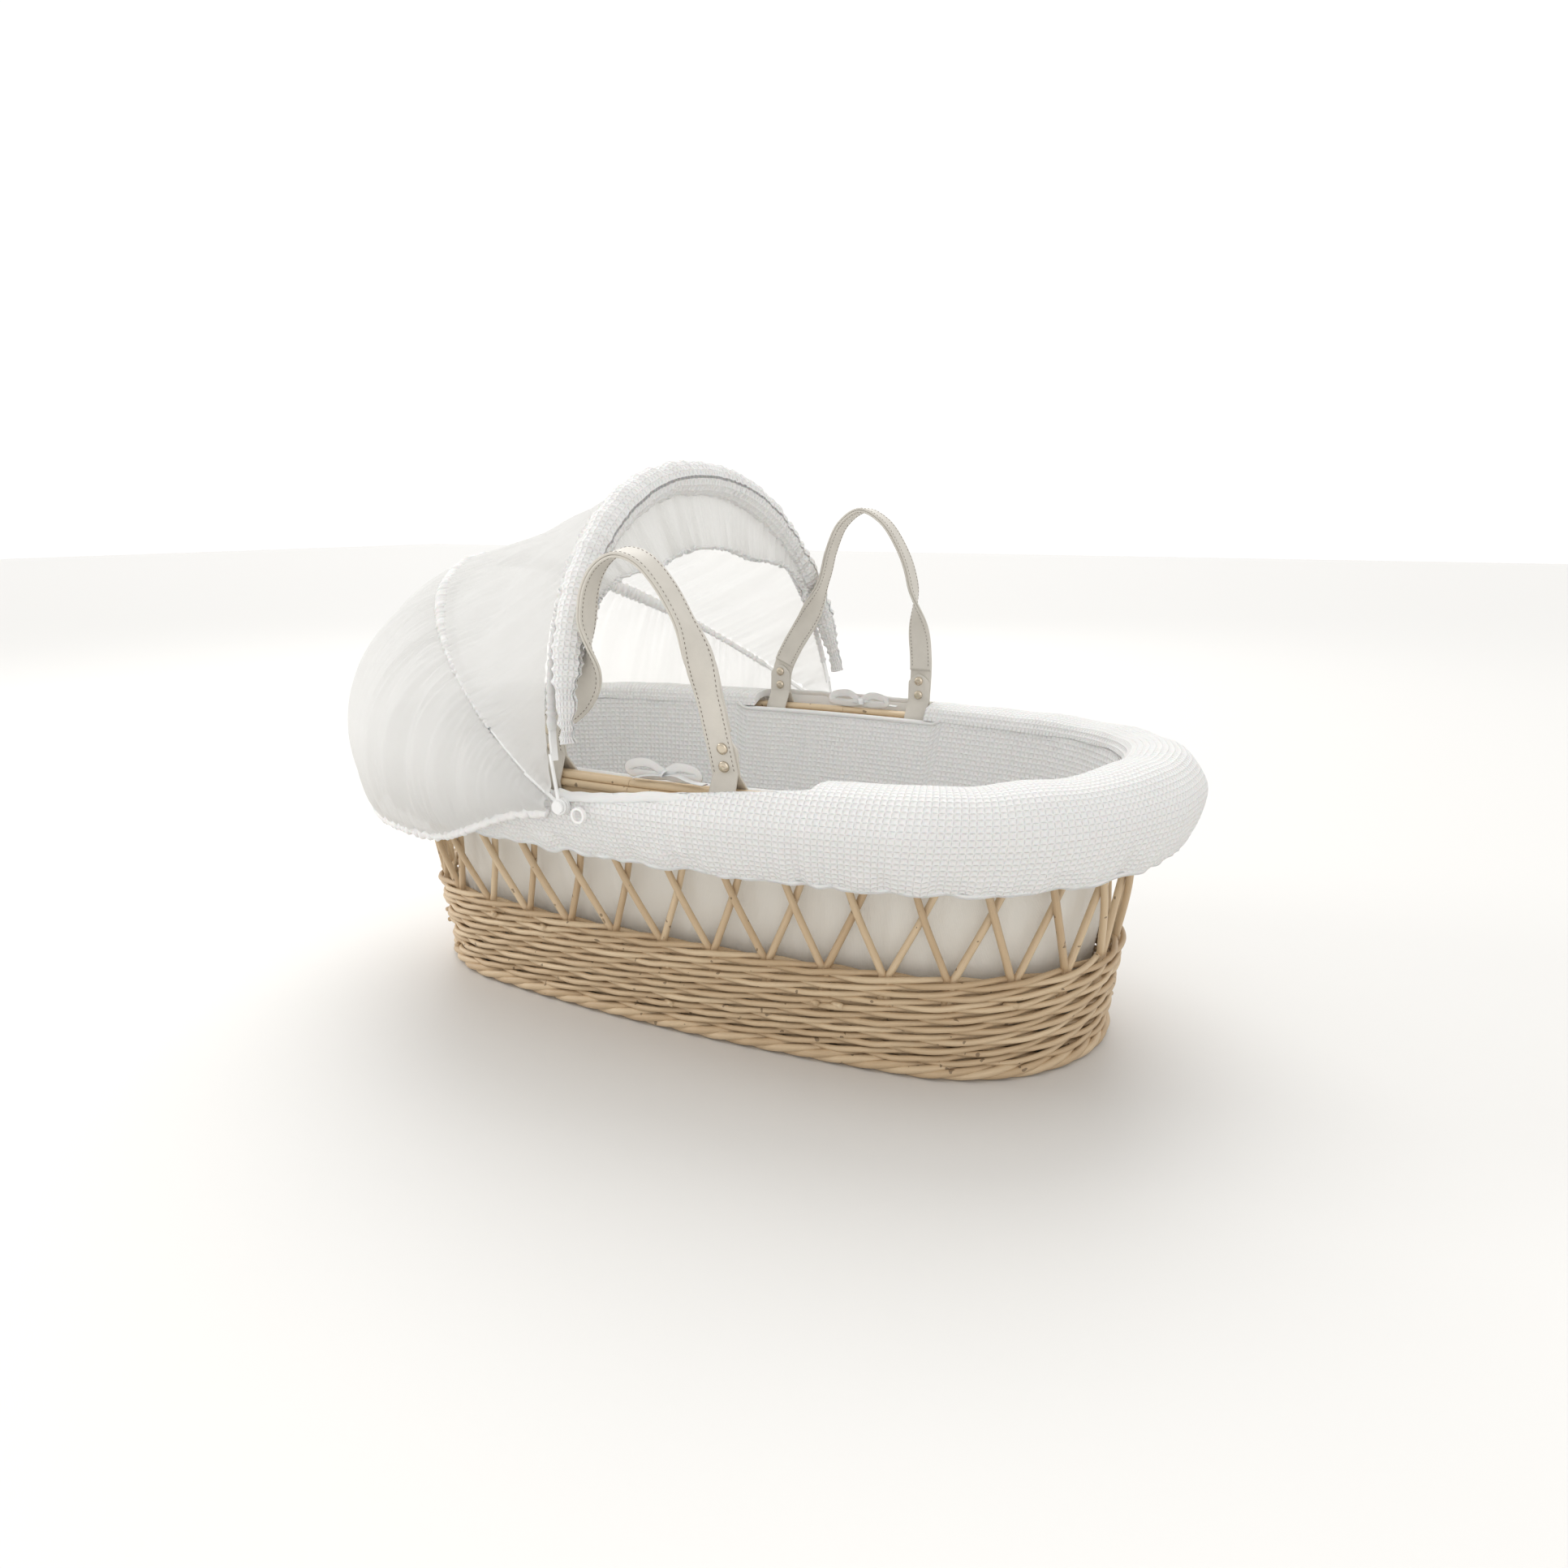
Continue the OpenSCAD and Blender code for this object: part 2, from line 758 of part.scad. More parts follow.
// Cloth channel that the hoop slides into
module channel(w, h, n, lean) {
    color(white_cotton) in_hoop_plane(lean) difference() {
        translate([0, 0, -channel_t / 2])
            linear_extrude(channel_t)
            arch_band(w, h, n, channel_w, 27);
        translate([0, 0, -(hoop_t + 0.6) / 2])
            linear_extrude(hoop_t + 0.6)
            arch_band(w, h, n, hoop_w + 0.6, 20);
    }
}

module hood_front_channel() {
    channel(front_w, front_h, front_shape, front_lean);
}

module hood_mid_channel() {
    channel(mid_w, mid_h, mid_shape, mid_lean);
}

// Padded roll in front of the front hoop
roll_r = 9.5;
roll_ahead = channel_t / 2 + roll_r + 0.4;
roll_steps = 30;
roll_sides = 10;
roll_start = 24;
module hood_roll() {
    rings = [
        for (k = [0 : roll_steps])
        let (
            t = roll_start + (180 - 2 * roll_start) * k / roll_steps,
            p = arch_point(t, front_w, front_h, front_shape),
            q = arch_point(t + 1, front_w, front_h, front_shape),
            out = unit([0, q[1] - p[1], -(q[0] - p[0])])
        )
        [
            for (j = [0 : roll_sides - 1])
            let (a = 360 * j / roll_sides)
            [roll_ahead + roll_r * cos(a), p[0], p[1]] - roll_r * sin(a) * out
        ]
    ];
    color(waffle)
        translate([pivot_x, 0, pivot_z])
        rotate([0, -front_lean, 0])
        skin(rings, closed = false);
}

// Gathered facing that hangs inwards from the roll
facing_t = 2;
facing_start = 38;
facing_width = 52;
facing_steps = 24;
module hood_facing() {
    rings = [
        for (k = [0 : facing_steps])
        let (
            t = facing_start + (180 - 2 * facing_start) * k / facing_steps,
            p = arch_point(t, front_w, front_h, front_shape),
            q = arch_point(t + 1, front_w, front_h, front_shape),
            in = unit([q[1] - p[1], -(q[0] - p[0])]),
            a = p + in * (roll_r + 2),
            width = 6 + (facing_width - roll_r) * smooth((k < facing_steps / 2 ? k : facing_steps - k) / 9),
            b = a + in * width
        )
        [
            [roll_ahead - facing_t / 2, a[0], a[1]], [roll_ahead + facing_t / 2, a[0], a[1]],
            [roll_ahead + facing_t / 2 + 3, b[0], b[1]], [roll_ahead - facing_t / 2 + 3, b[0], b[1]]
        ]
    ];
    color(white_cotton)
        translate([pivot_x, 0, pivot_z])
        rotate([0, -front_lean, 0])
        skin(rings, closed = false);
}

// Canopy cloth between two edge curves, as a thin closed sheet
canopy_steps = 30;
canopy_rows = 6;
edge_gap = 9;
canopy_centre = [-120, 0, 180];
function between(p, q, k, bulge) =
    let (
        d = norm(q - p), e = edge_gap / d, f = e + (1 - 2 * e) * k,
        m = p + (q - p) * f, away = unit(m - canopy_centre)
    )
    m + away * bulge * sin(180 * f);

module cloth_sheet(grid) {
    rows = len(grid);
    cols = len(grid[0]);
    function outward(p) = p + unit(p - canopy_centre) * cloth_t;
    rings = [
        for (c = [0 : cols - 1])
        concat([for (r = [0 : rows - 1]) grid[r][c]], [for (r = [rows - 1 : -1 : 0]) outward(grid[r][c])])
    ];
    skin(rings, closed = false);
}

front_cloth_start = 17;
module hood_canopy_front() {
    grid = [
        for (r = [0 : canopy_rows])
        [
            for (c = [0 : canopy_steps])
            let (t = front_cloth_start + (180 - 2 * front_cloth_start) * c / canopy_steps)
            between(front_point(t), mid_point(t), r / canopy_rows, 2)
        ]
    ];
    color(white_cotton) cloth_sheet(grid);
}

// Hem of the hood: it runs round the head end, outside and below the roll
hem_off = 53;
hem_x = -70;
hem_low_z = 182;
hem_steps = 40;
function hem_point(k) =
    let (
        u0 = share_at(hem_x, 200),
        u = (1 - u0) + (2 * u0 - 1) * k,
        drop = smooth(min(k, 1 - k) * 4.5),
        z = 228 + (hem_low_z - 228) * drop
    )
    wall_point(u, hem_off + 4 * (1 - drop), z);

rear_cloth_start = 20;
module hood_canopy_rear() {
    grid = [
        for (r = [0 : canopy_rows + 1])
        [
            for (c = [0 : canopy_steps])
            let (
                t = rear_cloth_start + (180 - 2 * rear_cloth_start) * c / canopy_steps,
                high = sin(180 * c / canopy_steps)
            )
            between(mid_point(t), hem_point(c / canopy_steps), r / (canopy_rows + 1), 15 + 40 * high)
        ]
    ];
    color(white_cotton) cloth_sheet(grid);
}

hem_r = 2.6;
module hood_hem() {
    color(white_cotton) tube([for (k = [0 : hem_steps]) hem_point(k / hem_steps)], hem_r, 8);
}

// Rivets on which both hoops turn, with a washer and a domed head
pin_in = 266.6;
pin_out = 276;
module hood_pivot_pins() {
    color(plastic)
        for (side = [-1, 1])
        translate([pivot_x, 0, pivot_z])
        rotate([-90 * side, 0, 0]) {
            translate([0, 0, pin_in])
                cylinder(h = pin_out - pin_in, r = pin_r, $fn = 48);
            translate([0, 0, pin_in - 0.2])
                cylinder(h = 1.6, r = 7, $fn = 48);
            translate([0, 0, pin_out - 2])
                cylinder(h = 2.4, r = 5.5, $fn = 48);
        }
}

// Short ties that fasten the hood's corners
module hood_tie_loops() {
    color(white_cotton)
        for (side = [-1, 1])
        translate([pivot_x + 18, side * 270, pivot_z - 6])
        rotate([90, 0, 0])
        rotate_extrude($fn = fine)
        translate([6, 0])
        square([2, 4], center = true);
}

foot_border();
base_long_sticks();
base_cross_sticks();
stakes_forward();
stakes_backward();
weave_outer_rods();
weave_inner_rods();
rim_core_rod();
rim_bundle_rods();
liner_bag();
liner_wall_pad();
liner_roll();
skirt_elastic();
slot_binding_near();
slot_binding_far();
liner_tie_near();
liner_tie_far();
mattress_core();
mattress_sheet();
handle_near_strap();
handle_near_lining();
handle_near_studs();
handle_far_strap();
handle_far_lining();
handle_far_studs();
hood_pivot_pins();
hood_tie_loops();
hood_front_hoop();
hood_front_channel();
hood_roll();
hood_facing();
hood_mid_hoop();
hood_mid_channel();
hood_canopy_front();
hood_canopy_rear();
hood_hem();
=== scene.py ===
"""Wicker baby basket: camera, woven willow, cloth, leather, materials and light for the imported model."""

import json
import math

import bpy
import numpy as np
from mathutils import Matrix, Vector


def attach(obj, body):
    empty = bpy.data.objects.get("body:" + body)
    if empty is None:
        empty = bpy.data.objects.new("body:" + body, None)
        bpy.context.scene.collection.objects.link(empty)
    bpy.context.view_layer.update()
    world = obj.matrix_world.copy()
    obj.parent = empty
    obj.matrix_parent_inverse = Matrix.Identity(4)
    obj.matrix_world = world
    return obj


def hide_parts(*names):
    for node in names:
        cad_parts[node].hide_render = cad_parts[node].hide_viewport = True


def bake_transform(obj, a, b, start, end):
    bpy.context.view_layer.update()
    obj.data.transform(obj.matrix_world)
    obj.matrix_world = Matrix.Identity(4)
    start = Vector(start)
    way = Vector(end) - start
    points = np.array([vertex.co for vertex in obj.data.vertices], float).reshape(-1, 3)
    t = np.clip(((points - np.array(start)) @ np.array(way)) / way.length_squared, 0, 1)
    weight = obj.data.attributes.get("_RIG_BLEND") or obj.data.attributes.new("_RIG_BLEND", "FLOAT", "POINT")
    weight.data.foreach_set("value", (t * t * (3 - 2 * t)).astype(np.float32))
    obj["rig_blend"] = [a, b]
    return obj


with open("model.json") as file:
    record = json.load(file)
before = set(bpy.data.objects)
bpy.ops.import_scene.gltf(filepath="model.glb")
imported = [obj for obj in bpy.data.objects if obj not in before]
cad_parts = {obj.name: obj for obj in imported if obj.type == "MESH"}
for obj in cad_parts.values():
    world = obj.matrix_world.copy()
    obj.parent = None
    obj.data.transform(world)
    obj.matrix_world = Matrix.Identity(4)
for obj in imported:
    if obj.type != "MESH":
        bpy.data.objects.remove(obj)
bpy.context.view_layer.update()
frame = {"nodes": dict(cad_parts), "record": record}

BASKET = "basket"
MIDDLE = "middle_hoop"
FRONT = "front_hoop"
TAU = 2 * math.pi

FINE = 1.0

# ---------- camera

LOOK_AT = Vector((0.0335, 0.0, 0.2122))
camera_data = bpy.data.cameras.new("camera")
camera_data.lens = 27.23
camera_data.sensor_width = 36.0
camera_data.clip_start = 0.05
camera = bpy.data.objects.new("camera", camera_data)
bpy.context.scene.collection.objects.link(camera)
camera.location = (0.5903, -1.0534, 0.4884)
camera.rotation_euler = (LOOK_AT - camera.location).to_track_quat("-Z", "Y").to_euler()
bpy.context.scene.camera = camera

# ---------- basket shape, as in part.scad (metres)

BASE_A, BASE_B = 0.360, 0.158
RIM_A, RIM_B = 0.397, 0.2195
RIM_Z = 0.249
END_ROUND = 0.905
RIM_LENGTH = 2.0
STAKE_PAIRS = 34
WALE_ROWS = 8
WALE_LOW = 0.0182
WALE_STEP = 0.01094
FOOT_RODS = 4
SKIRT_Z = 0.192
CREST_Z = RIM_Z + 0.0225
SLOT_R = 1.150

# Outer edge of each slot: x, and how far outside the rim line it lies.
SLOT_NEAR = (
    (-0.106, 0.026), (-0.090, 0.036), (-0.062, 0.042), (-0.036, 0.0435), (0.0, 0.042),
    (0.050, 0.038), (0.100, 0.035), (0.140, 0.031), (0.165, 0.026), (0.178, 0.021),
)
SLOT_FAR = ((-0.107, 0.019), (-0.080, 0.022), (0.0, 0.023), (0.080, 0.022), (0.112, 0.019))

# The crown of the roll: distance outside the rim line, and height.
CROWN = (
    (0.000, 0.2718), (0.016, 0.2708), (0.020, 0.2693), (0.024, 0.2675), (0.031, 0.263),
    (0.038, 0.2565), (0.042, 0.2508), (0.044, 0.2478),
)
HANDLE_Y = RIM_B - 0.0035
HANDLE_FEET = (-0.085, 0.095)
PIVOT = np.array([-0.040, 0.0, 0.240])


def smooth(t):
    """0 to 1 with flat ends."""
    c = np.clip(t, 0, 1)
    return c * c * (3 - 2 * c)


def wall(u, off, z):
    """Points at share u of the way round the basket wall, moved out by off, at height z."""
    u, off, z = np.broadcast_arrays(*(np.asarray(v, float) for v in (u, off, z)))
    a = BASE_A + (RIM_A - BASE_A) * z / RIM_Z
    b = BASE_B + (RIM_B - BASE_B) * z / RIM_Z
    r = END_ROUND * b
    big = ((a - r) ** 2 + b * b - r * r) / (2 * (b - r))
    meet = np.arctan2(big - b, a - r)
    end_arc = r * meet
    quarter = end_arc + big * (math.pi / 2 - meet)
    turn = (u % 1) * 4
    q = np.floor(turn)
    part = turn - q
    s = np.where(q % 2 == 0, part, 1 - part) * quarter
    t = np.where(s < end_arc, s / r, meet + (s - end_arc) / big)
    x = np.where(t < meet, a - r + r * np.cos(t), big * np.cos(t)) + off * np.cos(t)
    y = np.where(t < meet, r * np.sin(t), b - big + big * np.sin(t)) + off * np.sin(t)
    x = np.where((q == 1) | (q == 2), -x, x)
    y = np.where(q > 1, -y, y)
    return np.stack([x, y, z], -1)


def round_shares(count):
    """Shares all the way round the basket, starting at the head end under the hood."""
    steps = int(count * FINE)
    return 0.5 + np.arange(steps) / steps


def share_at(x):
    """Share of the way round at which the rim passes x on the far side."""
    u = np.linspace(0, 0.5, 2000)
    return float(np.interp(-x, -wall(u, 0, RIM_Z)[:, 0], u))


def catmull(points, count, closed=False):
    """A smooth curve of count points through the given ones."""
    p = np.asarray(points, float)
    n = len(p) if closed else len(p) - 1
    t = np.linspace(0, n, count, endpoint=not closed)
    i = np.minimum(t.astype(int), n - 1)
    f = (t - i)[:, None]
    if closed:
        a, b, c, d = (p[(i + k) % n] for k in (-1, 0, 1, 2))
    else:
        a, b, c, d = (p[np.clip(i + k, 0, n)] for k in (-1, 0, 1, 2))
    return 0.5 * (
        2 * b + (c - a) * f + (2 * a - 5 * b + 4 * c - d) * f * f + (3 * b - a - 3 * c + d) * f**3
    )


def rim_drop(x):
    """How far the long side of the rim has curved in at x."""
    return SLOT_R - np.sqrt(SLOT_R**2 - x**2)


def ripple(u, low, high, seed):
    """Smooth pseudo-random waves, low to high of them per unit of u, mostly within -1 to 1."""
    rng = np.random.default_rng(seed)
    total = 0
    for k in range(low, high):
        total = total + rng.uniform(0.4, 1) * np.cos(TAU * (k * u + rng.random()))
    return total / math.sqrt(max(1, high - low))


def unit(v):
    """Vectors scaled to length one."""
    return v / np.maximum(np.linalg.norm(v, axis=-1, keepdims=True), 1e-12)


# ---------- meshes


def linked(name, data):
    """A new object in the scene."""
    obj = bpy.data.objects.new(name, data)
    bpy.context.scene.collection.objects.link(obj)
    return obj


def make_mesh(name, vertices, faces, uvs, tint=None):
    """A new smooth mesh; uvs has one row per vertex, in metres; tint is one number per vertex."""
    mesh = bpy.data.meshes.new(name)
    faces = np.asarray(faces, np.int32)
    mesh.vertices.add(len(vertices))
    mesh.vertices.foreach_set("co", np.asarray(vertices, np.float32).ravel())
    sides = faces.shape[1]
    mesh.loops.add(faces.size)
    mesh.loops.foreach_set("vertex_index", faces.ravel())
    mesh.polygons.add(len(faces))
    mesh.polygons.foreach_set("loop_start", np.arange(0, faces.size, sides, dtype=np.int32))
    mesh.polygons.foreach_set("use_smooth", np.full(len(faces), True))
    layer = mesh.uv_layers.new(name="UVMap")
    layer.data.foreach_set("uv", np.asarray(uvs, np.float32)[faces.ravel()].ravel())
    if tint is not None:
        attribute = mesh.attributes.new("tint", "FLOAT", "POINT")
        attribute.data.foreach_set("value", np.asarray(tint, np.float32))
    mesh.update(calc_edges=True)
    mesh.validate()
    return linked(name, mesh)


def grid_faces(rows, cols, close_rows=False, close_cols=False):
    """Quads of a rows by cols grid of vertices."""
    i = np.arange(rows if close_rows else rows - 1)
    j = np.arange(cols if close_cols else cols - 1)
    i, j = (m.ravel() for m in np.meshgrid(i, j, indexing="ij"))
    k, m = (i + 1) % rows, (j + 1) % cols
    return np.stack([i * cols + j, k * cols + j, k * cols + m, i * cols + m], 1)


def end_fans(rows, cols):
    """Faces that close both ends of a tube, round two centres that follow its grid of vertices."""
    centre = rows * cols
    last = (rows - 1) * cols
    j = np.arange(cols)
    k = (j + 1) % cols
    first_fan = np.stack([np.full(cols, centre), j, k, k], 1)
    last_fan = np.stack([np.full(cols, centre + 1), last + k, last + j, last + j], 1)
    return np.vstack([first_fan, last_fan])


def grid_uv(points):
    """Mean lengths along both ways of a grid of points, as texture coordinates in metres."""
    down = np.linalg.norm(np.diff(points, axis=0), axis=2).mean(1)
    along = np.linalg.norm(np.diff(points, axis=1), axis=2).mean(0)
    v = np.concatenate([[0], np.cumsum(down)])
    u = np.concatenate([[0], np.cumsum(along)])
    return np.stack(np.meshgrid(u, v), -1).reshape(-1, 2)


def grid_object(name, points, close_rows=False, close_cols=False):
    """A mesh object from a grid of points."""
    faces = grid_faces(*points.shape[:2], close_rows, close_cols)
    return make_mesh(name, points.reshape(-1, 3), faces, grid_uv(points))


def path_frames(path, up=(0, 0, 1)):
    """Tangent, side and normal at each point of a path."""
    tangent = unit(np.gradient(path, axis=0))
    side = unit(np.cross(tangent, np.broadcast_to(np.asarray(up, float), path.shape)))
    return tangent, side, np.cross(side, tangent)


def tube_parts(path, radius, sides=10, up=(0, 0, 1), flat=1.0):
    """Vertices, faces and texture coordinates of a closed tube; radius may be one number a point."""
    path = np.asarray(path, float)
    _, side, normal = path_frames(path, up)
    radius = np.broadcast_to(np.asarray(radius, float), (len(path),))
    angle = np.arange(sides) * TAU / sides
    ring = side[:, None] * np.cos(angle)[None, :, None]
    ring = ring + normal[:, None] * (flat * np.sin(angle))[None, :, None]
    points = path[:, None] + ring * radius[:, None, None]
    length = np.concatenate([[0], np.cumsum(np.linalg.norm(np.diff(path, axis=0), axis=1))])
    uv = np.stack(
        [
            np.broadcast_to(length[:, None], points.shape[:2]),
            np.broadcast_to(angle * float(radius.mean()), points.shape[:2]),
        ],
        -1,
    )
    uv = uv.reshape(-1, 2)
    faces = np.vstack([grid_faces(len(path), sides, close_cols=True), end_fans(len(path), sides)])
    vertices = np.vstack([points.reshape(-1, 3), path[0], path[-1]])
    return vertices, faces, np.vstack([uv, uv[0], uv[-1]])


def triangles(faces):
    """Quads as triangles, leaving out the ones with no area."""
    faces = np.asarray(faces)
    both = np.vstack([faces[:, [0, 1, 2]], faces[:, [0, 2, 3]]])
    real = (both[:, 0] != both[:, 1]) & (both[:, 1] != both[:, 2]) & (both[:, 0] != both[:, 2])
    return both[real]


def tubes_object(name, tubes, seed):
    """One object from many (vertices, faces, uv) tubes, each with its own tint."""
    rng = np.random.default_rng(seed)
    vertices, faces, uvs, tints, start = [], [], [], [], 0
    for v, f, uv in tubes:
        vertices.append(v)
        faces.append(triangles(f) + start)
        uvs.append(uv + rng.random(2))
        tints.append(np.full(len(v), rng.random()))
        start += len(v)
    return make_mesh(
        name, np.vstack(vertices), np.vstack(faces), np.vstack(uvs), np.concatenate(tints)
    )


# ---------- materials


class Nodes:
    """Short calls for building one material's node tree."""

    def __init__(self, name):
        self.material = bpy.data.materials.new(name)
        self.material.use_nodes = True
        self.tree = self.material.node_tree
        self.tree.nodes.clear()
        coordinate = self.add("ShaderNodeTexCoord")
        self.uv = coordinate.outputs["UV"]
        self.position = coordinate.outputs["Object"]

    def add(self, kind, inputs=None, **settings):
        node = self.tree.nodes.new(kind)
        for key, value in settings.items():
            setattr(node, key, value)
        for key, value in (inputs or {}).items():
            if isinstance(value, bpy.types.NodeSocket):
                self.tree.links.new(value, node.inputs[key])
            else:
                node.inputs[key].default_value = value
        return node

    def math(self, operation, a, b=0.0):
        return self.add("ShaderNodeMath", {0: a, 1: b}, operation=operation).outputs[0]

    def output(self, shader):
        self.add("ShaderNodeOutputMaterial", {"Surface": shader})
        return self.material

    def bump(self, height, strength, distance):
        return self.add(
            "ShaderNodeBump", {"Height": height, "Strength": strength, "Distance": distance}
        ).outputs[0]

    def noise(self, vector, scale, detail=3.0):
        return self.add(
            "ShaderNodeTexNoise", {"Vector": vector, "Scale": scale, "Detail": detail}
        ).outputs[0]

    def mix(self, factor, first, second):
        return self.add(
            "ShaderNodeMix", {0: factor, 6: first, 7: second}, data_type="RGBA"
        ).outputs[2]


def waves(n, axis_value, cell):
    """A row of ridges a cell apart along one texture coordinate, 0 to 1."""
    turn = n.math("MULTIPLY", axis_value, math.pi / cell)
    return n.math("ABSOLUTE", n.math("SINE", turn))


def cloth_material(name, color, cell, ridge, glow=0.0, wrinkle=0.0):
    """Cotton: cell is the pitch of its weave or waffle in metres, ridge how far it stands out; the hollows
    of the weave get painted shade.
    """
    n = Nodes(name)
    split = n.add("ShaderNodeSeparateXYZ", {0: n.uv})
    across, along = waves(n, split.outputs[0], cell), waves(n, split.outputs[1], cell)
    weave = n.math("MULTIPLY", across, along)
    weave = n.math("POWER", weave, 0.6)
    fuzz = n.noise(n.position, 1400.0, 2.0)
    soft = n.noise(n.position, 38.0, 3.0)
    height = n.math("SUBTRACT", 1.0, weave)
    height = n.math("ADD", height, n.math("MULTIPLY", fuzz, 0.25))
    height = n.math("ADD", height, n.math("MULTIPLY", soft, wrinkle))
    normal = n.bump(height, 1.0, ridge)
    # Painted shade: the colour is darkened towards 84 % in the hollows of the weave or waffle, the same
    # places where the bump sinks.
    dark = (*(c * 0.84 for c in color), 1)
    shade = n.mix(n.math("MULTIPLY", weave, 0.55), (*color, 1), dark)
    inputs = {"Base Color": shade, "Roughness": 0.85, "Normal": normal, "Sheen Weight": 0.15}
    if glow:
        inputs["Subsurface Weight"] = glow
        inputs["Subsurface Scale"] = 0.004
    shader = n.add("ShaderNodeBsdfPrincipled", inputs)
    return n.output(shader.outputs[0])


def voile_material(name, color):
    """Thin translucent cotton that lets the light from behind through."""
    n = Nodes(name)
    split = n.add("ShaderNodeSeparateXYZ", {0: n.uv})
    weave = n.math(
        "ADD", waves(n, split.outputs[0], 0.0011), waves(n, split.outputs[1], 0.0011)
    )
    slub = n.noise(n.position, 160.0, 4.0)
    height = n.math("ADD", n.math("MULTIPLY", weave, 0.35), slub)
    normal = n.bump(height, 0.6, 0.0006)
    front = n.add(
        "ShaderNodeBsdfPrincipled",
        {"Base Color": (*color, 1), "Roughness": 0.8, "Normal": normal, "Sheen Weight": 0.2},
    )
    through = n.add("ShaderNodeBsdfTranslucent", {"Color": (*color, 1), "Normal": normal})
    both = n.add("ShaderNodeMixShader", {0: 0.50, 1: front.outputs[0], 2: through.outputs[0]})
    clear = n.add("ShaderNodeBsdfTransparent", {"Color": (1, 1, 1, 1)})
    sheer = n.add("ShaderNodeMixShader", {0: 0.10, 1: both.outputs[0], 2: clear.outputs[0]})
    return n.output(sheer.outputs[0])


def willow_material(name, light, dark):
    """Peeled willow: one tint a rod, fine streaks along it, small knots."""
    n = Nodes(name)
    tint = n.add("ShaderNodeAttribute", attribute_name="tint").outputs["Fac"]
    stretched = n.add(
        "ShaderNodeMapping", {"Vector": n.uv, "Scale": (60.0, 1800.0, 1.0)}
    )
    streak = n.noise(stretched.outputs[0], 1.0, 5.0)
    patch = n.noise(n.position, 30.0, 3.0)
    knots = n.noise(n.position, 120.0, 1.0)
    knot = n.math("GREATER_THAN", knots, 0.735)
    amount = n.math("ADD", n.math("MULTIPLY", tint, 0.55), n.math("MULTIPLY", streak, 0.5))
    amount = n.math("ADD", amount, n.math("MULTIPLY", patch, 0.35))
    amount = n.math("SUBTRACT", amount, 0.25)
    color = n.mix(n.add("ShaderNodeClamp", {0: amount}).outputs[0], (*light, 1), (*dark, 1))
    color = n.mix(n.math("MULTIPLY", knot, 0.7), color, (0.12, 0.07, 0.035, 1))
    normal = n.bump(streak, 0.5, 0.0006)
    shader = n.add(
        "ShaderNodeBsdfPrincipled", {"Base Color": color, "Roughness": 0.46, "Normal": normal}
    )
    return n.output(shader.outputs[0])


def leather_material(name, color):
    """Leather with a fine grain and cloudy patches."""
    n = Nodes(name)
    grain = n.add(
        "ShaderNodeTexVoronoi", {"Vector": n.position, "Scale": 900.0}
    ).outputs[0]
    patch = n.noise(n.position, 60.0, 4.0)
    dark = (*(c * 0.84 for c in color), 1)
    shade = n.mix(patch, (*color, 1), dark)
    shader = n.add(
        "ShaderNodeBsdfPrincipled",
        {"Base Color": shade, "Roughness": 0.48, "Normal": n.bump(grain, 0.35, 0.0004)},
    )
    return n.output(shader.outputs[0])


def plain_material(name, color, roughness, metallic=0.0):
    """One colour with a very slight speckled relief."""
    n = Nodes(name)
    speck = n.noise(n.position, 500.0, 2.0)
    shader = n.add(
        "ShaderNodeBsdfPrincipled",
        {
            "Base Color": (*color, 1),
            "Roughness": roughness,
            "Metallic": metallic,
            "Normal": n.bump(speck, 0.08, 0.0004),
        },
    )
    return n.output(shader.outputs[0])


WHITE = (0.92, 0.915, 0.90)
WILLOW = willow_material("willow", (0.76, 0.60, 0.40), (0.46, 0.31, 0.17))
WAFFLE = cloth_material("waffle_cotton", WHITE, 0.0054, 0.0014, glow=0.08, wrinkle=0.3)
COTTON = cloth_material("white_cotton", WHITE, 0.0009, 0.00018, glow=0.1, wrinkle=1.2)
CREAM = cloth_material("cream_cotton", (0.95, 0.92, 0.85), 0.0009, 0.00018, wrinkle=1.2)
VOILE = voile_material("white_voile", WHITE)
LEATHER = leather_material("leather", (0.70, 0.66, 0.59))
THREAD = plain_material("thread", (0.16, 0.13, 0.10), 0.7)
NICKEL = plain_material("nickel", (0.66, 0.58, 0.46), 0.24, 1.0)
PLASTIC = plain_material("white_plastic", (0.88, 0.88, 0.87), 0.38)
FOAM = plain_material("foam", (0.86, 0.82, 0.68), 0.9)
FLOOR = plain_material("floor", (0.76, 0.75, 0.73), 0.5)

CAD_MATERIALS = {
    "willow": WILLOW,
    "white_cotton": COTTON,
    "waffle_cotton": WAFFLE,
    "foam": FOAM,
    "leather": LEATHER,
    "nickel": NICKEL,
    "white_plastic": PLASTIC,
}
for row in frame["record"]["subparts"]:
    slots = frame["nodes"][row["node"]].data.materials
    slots.clear()
    slots.append(CAD_MATERIALS[row["material_slot"]])


def place(obj, material, body=BASKET, replaces=()):
    """Gives a piece its material and slot, makes it ride on a body, and hides the model parts it replaces.
    """
    obj.data.materials.append(material)
    if body:
        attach(obj, body)
    if replaces:
        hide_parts(*replaces)
    return obj


# ---------- wicker


def wale_strand(row, phase):
    """One of the three rods that twist round the stakes in a row."""
    height = WALE_LOW + row * WALE_STEP
    u = np.linspace(0.5, 1.5, int(STAKE_PAIRS * 22 * FINE))
    turn = TAU * (u * STAKE_PAIRS / 3 + phase / 3 + row * 0.17)
    jitter = ripple(u, 20, 60, 100 + row * 3 + phase)
    off = 0.0016 + 0.0064 * np.cos(turn) + 0.0004 * jitter
    z = height + 0.0032 * np.sin(turn) + 0.0005 * ripple(u, 9, 50, row * 7 + phase)
    thick = 0.00272 + 0.00018 * ripple(u, 5, 40, 300 + row * 3 + phase)
    return tube_parts(wall(u, off, z), thick, 9)


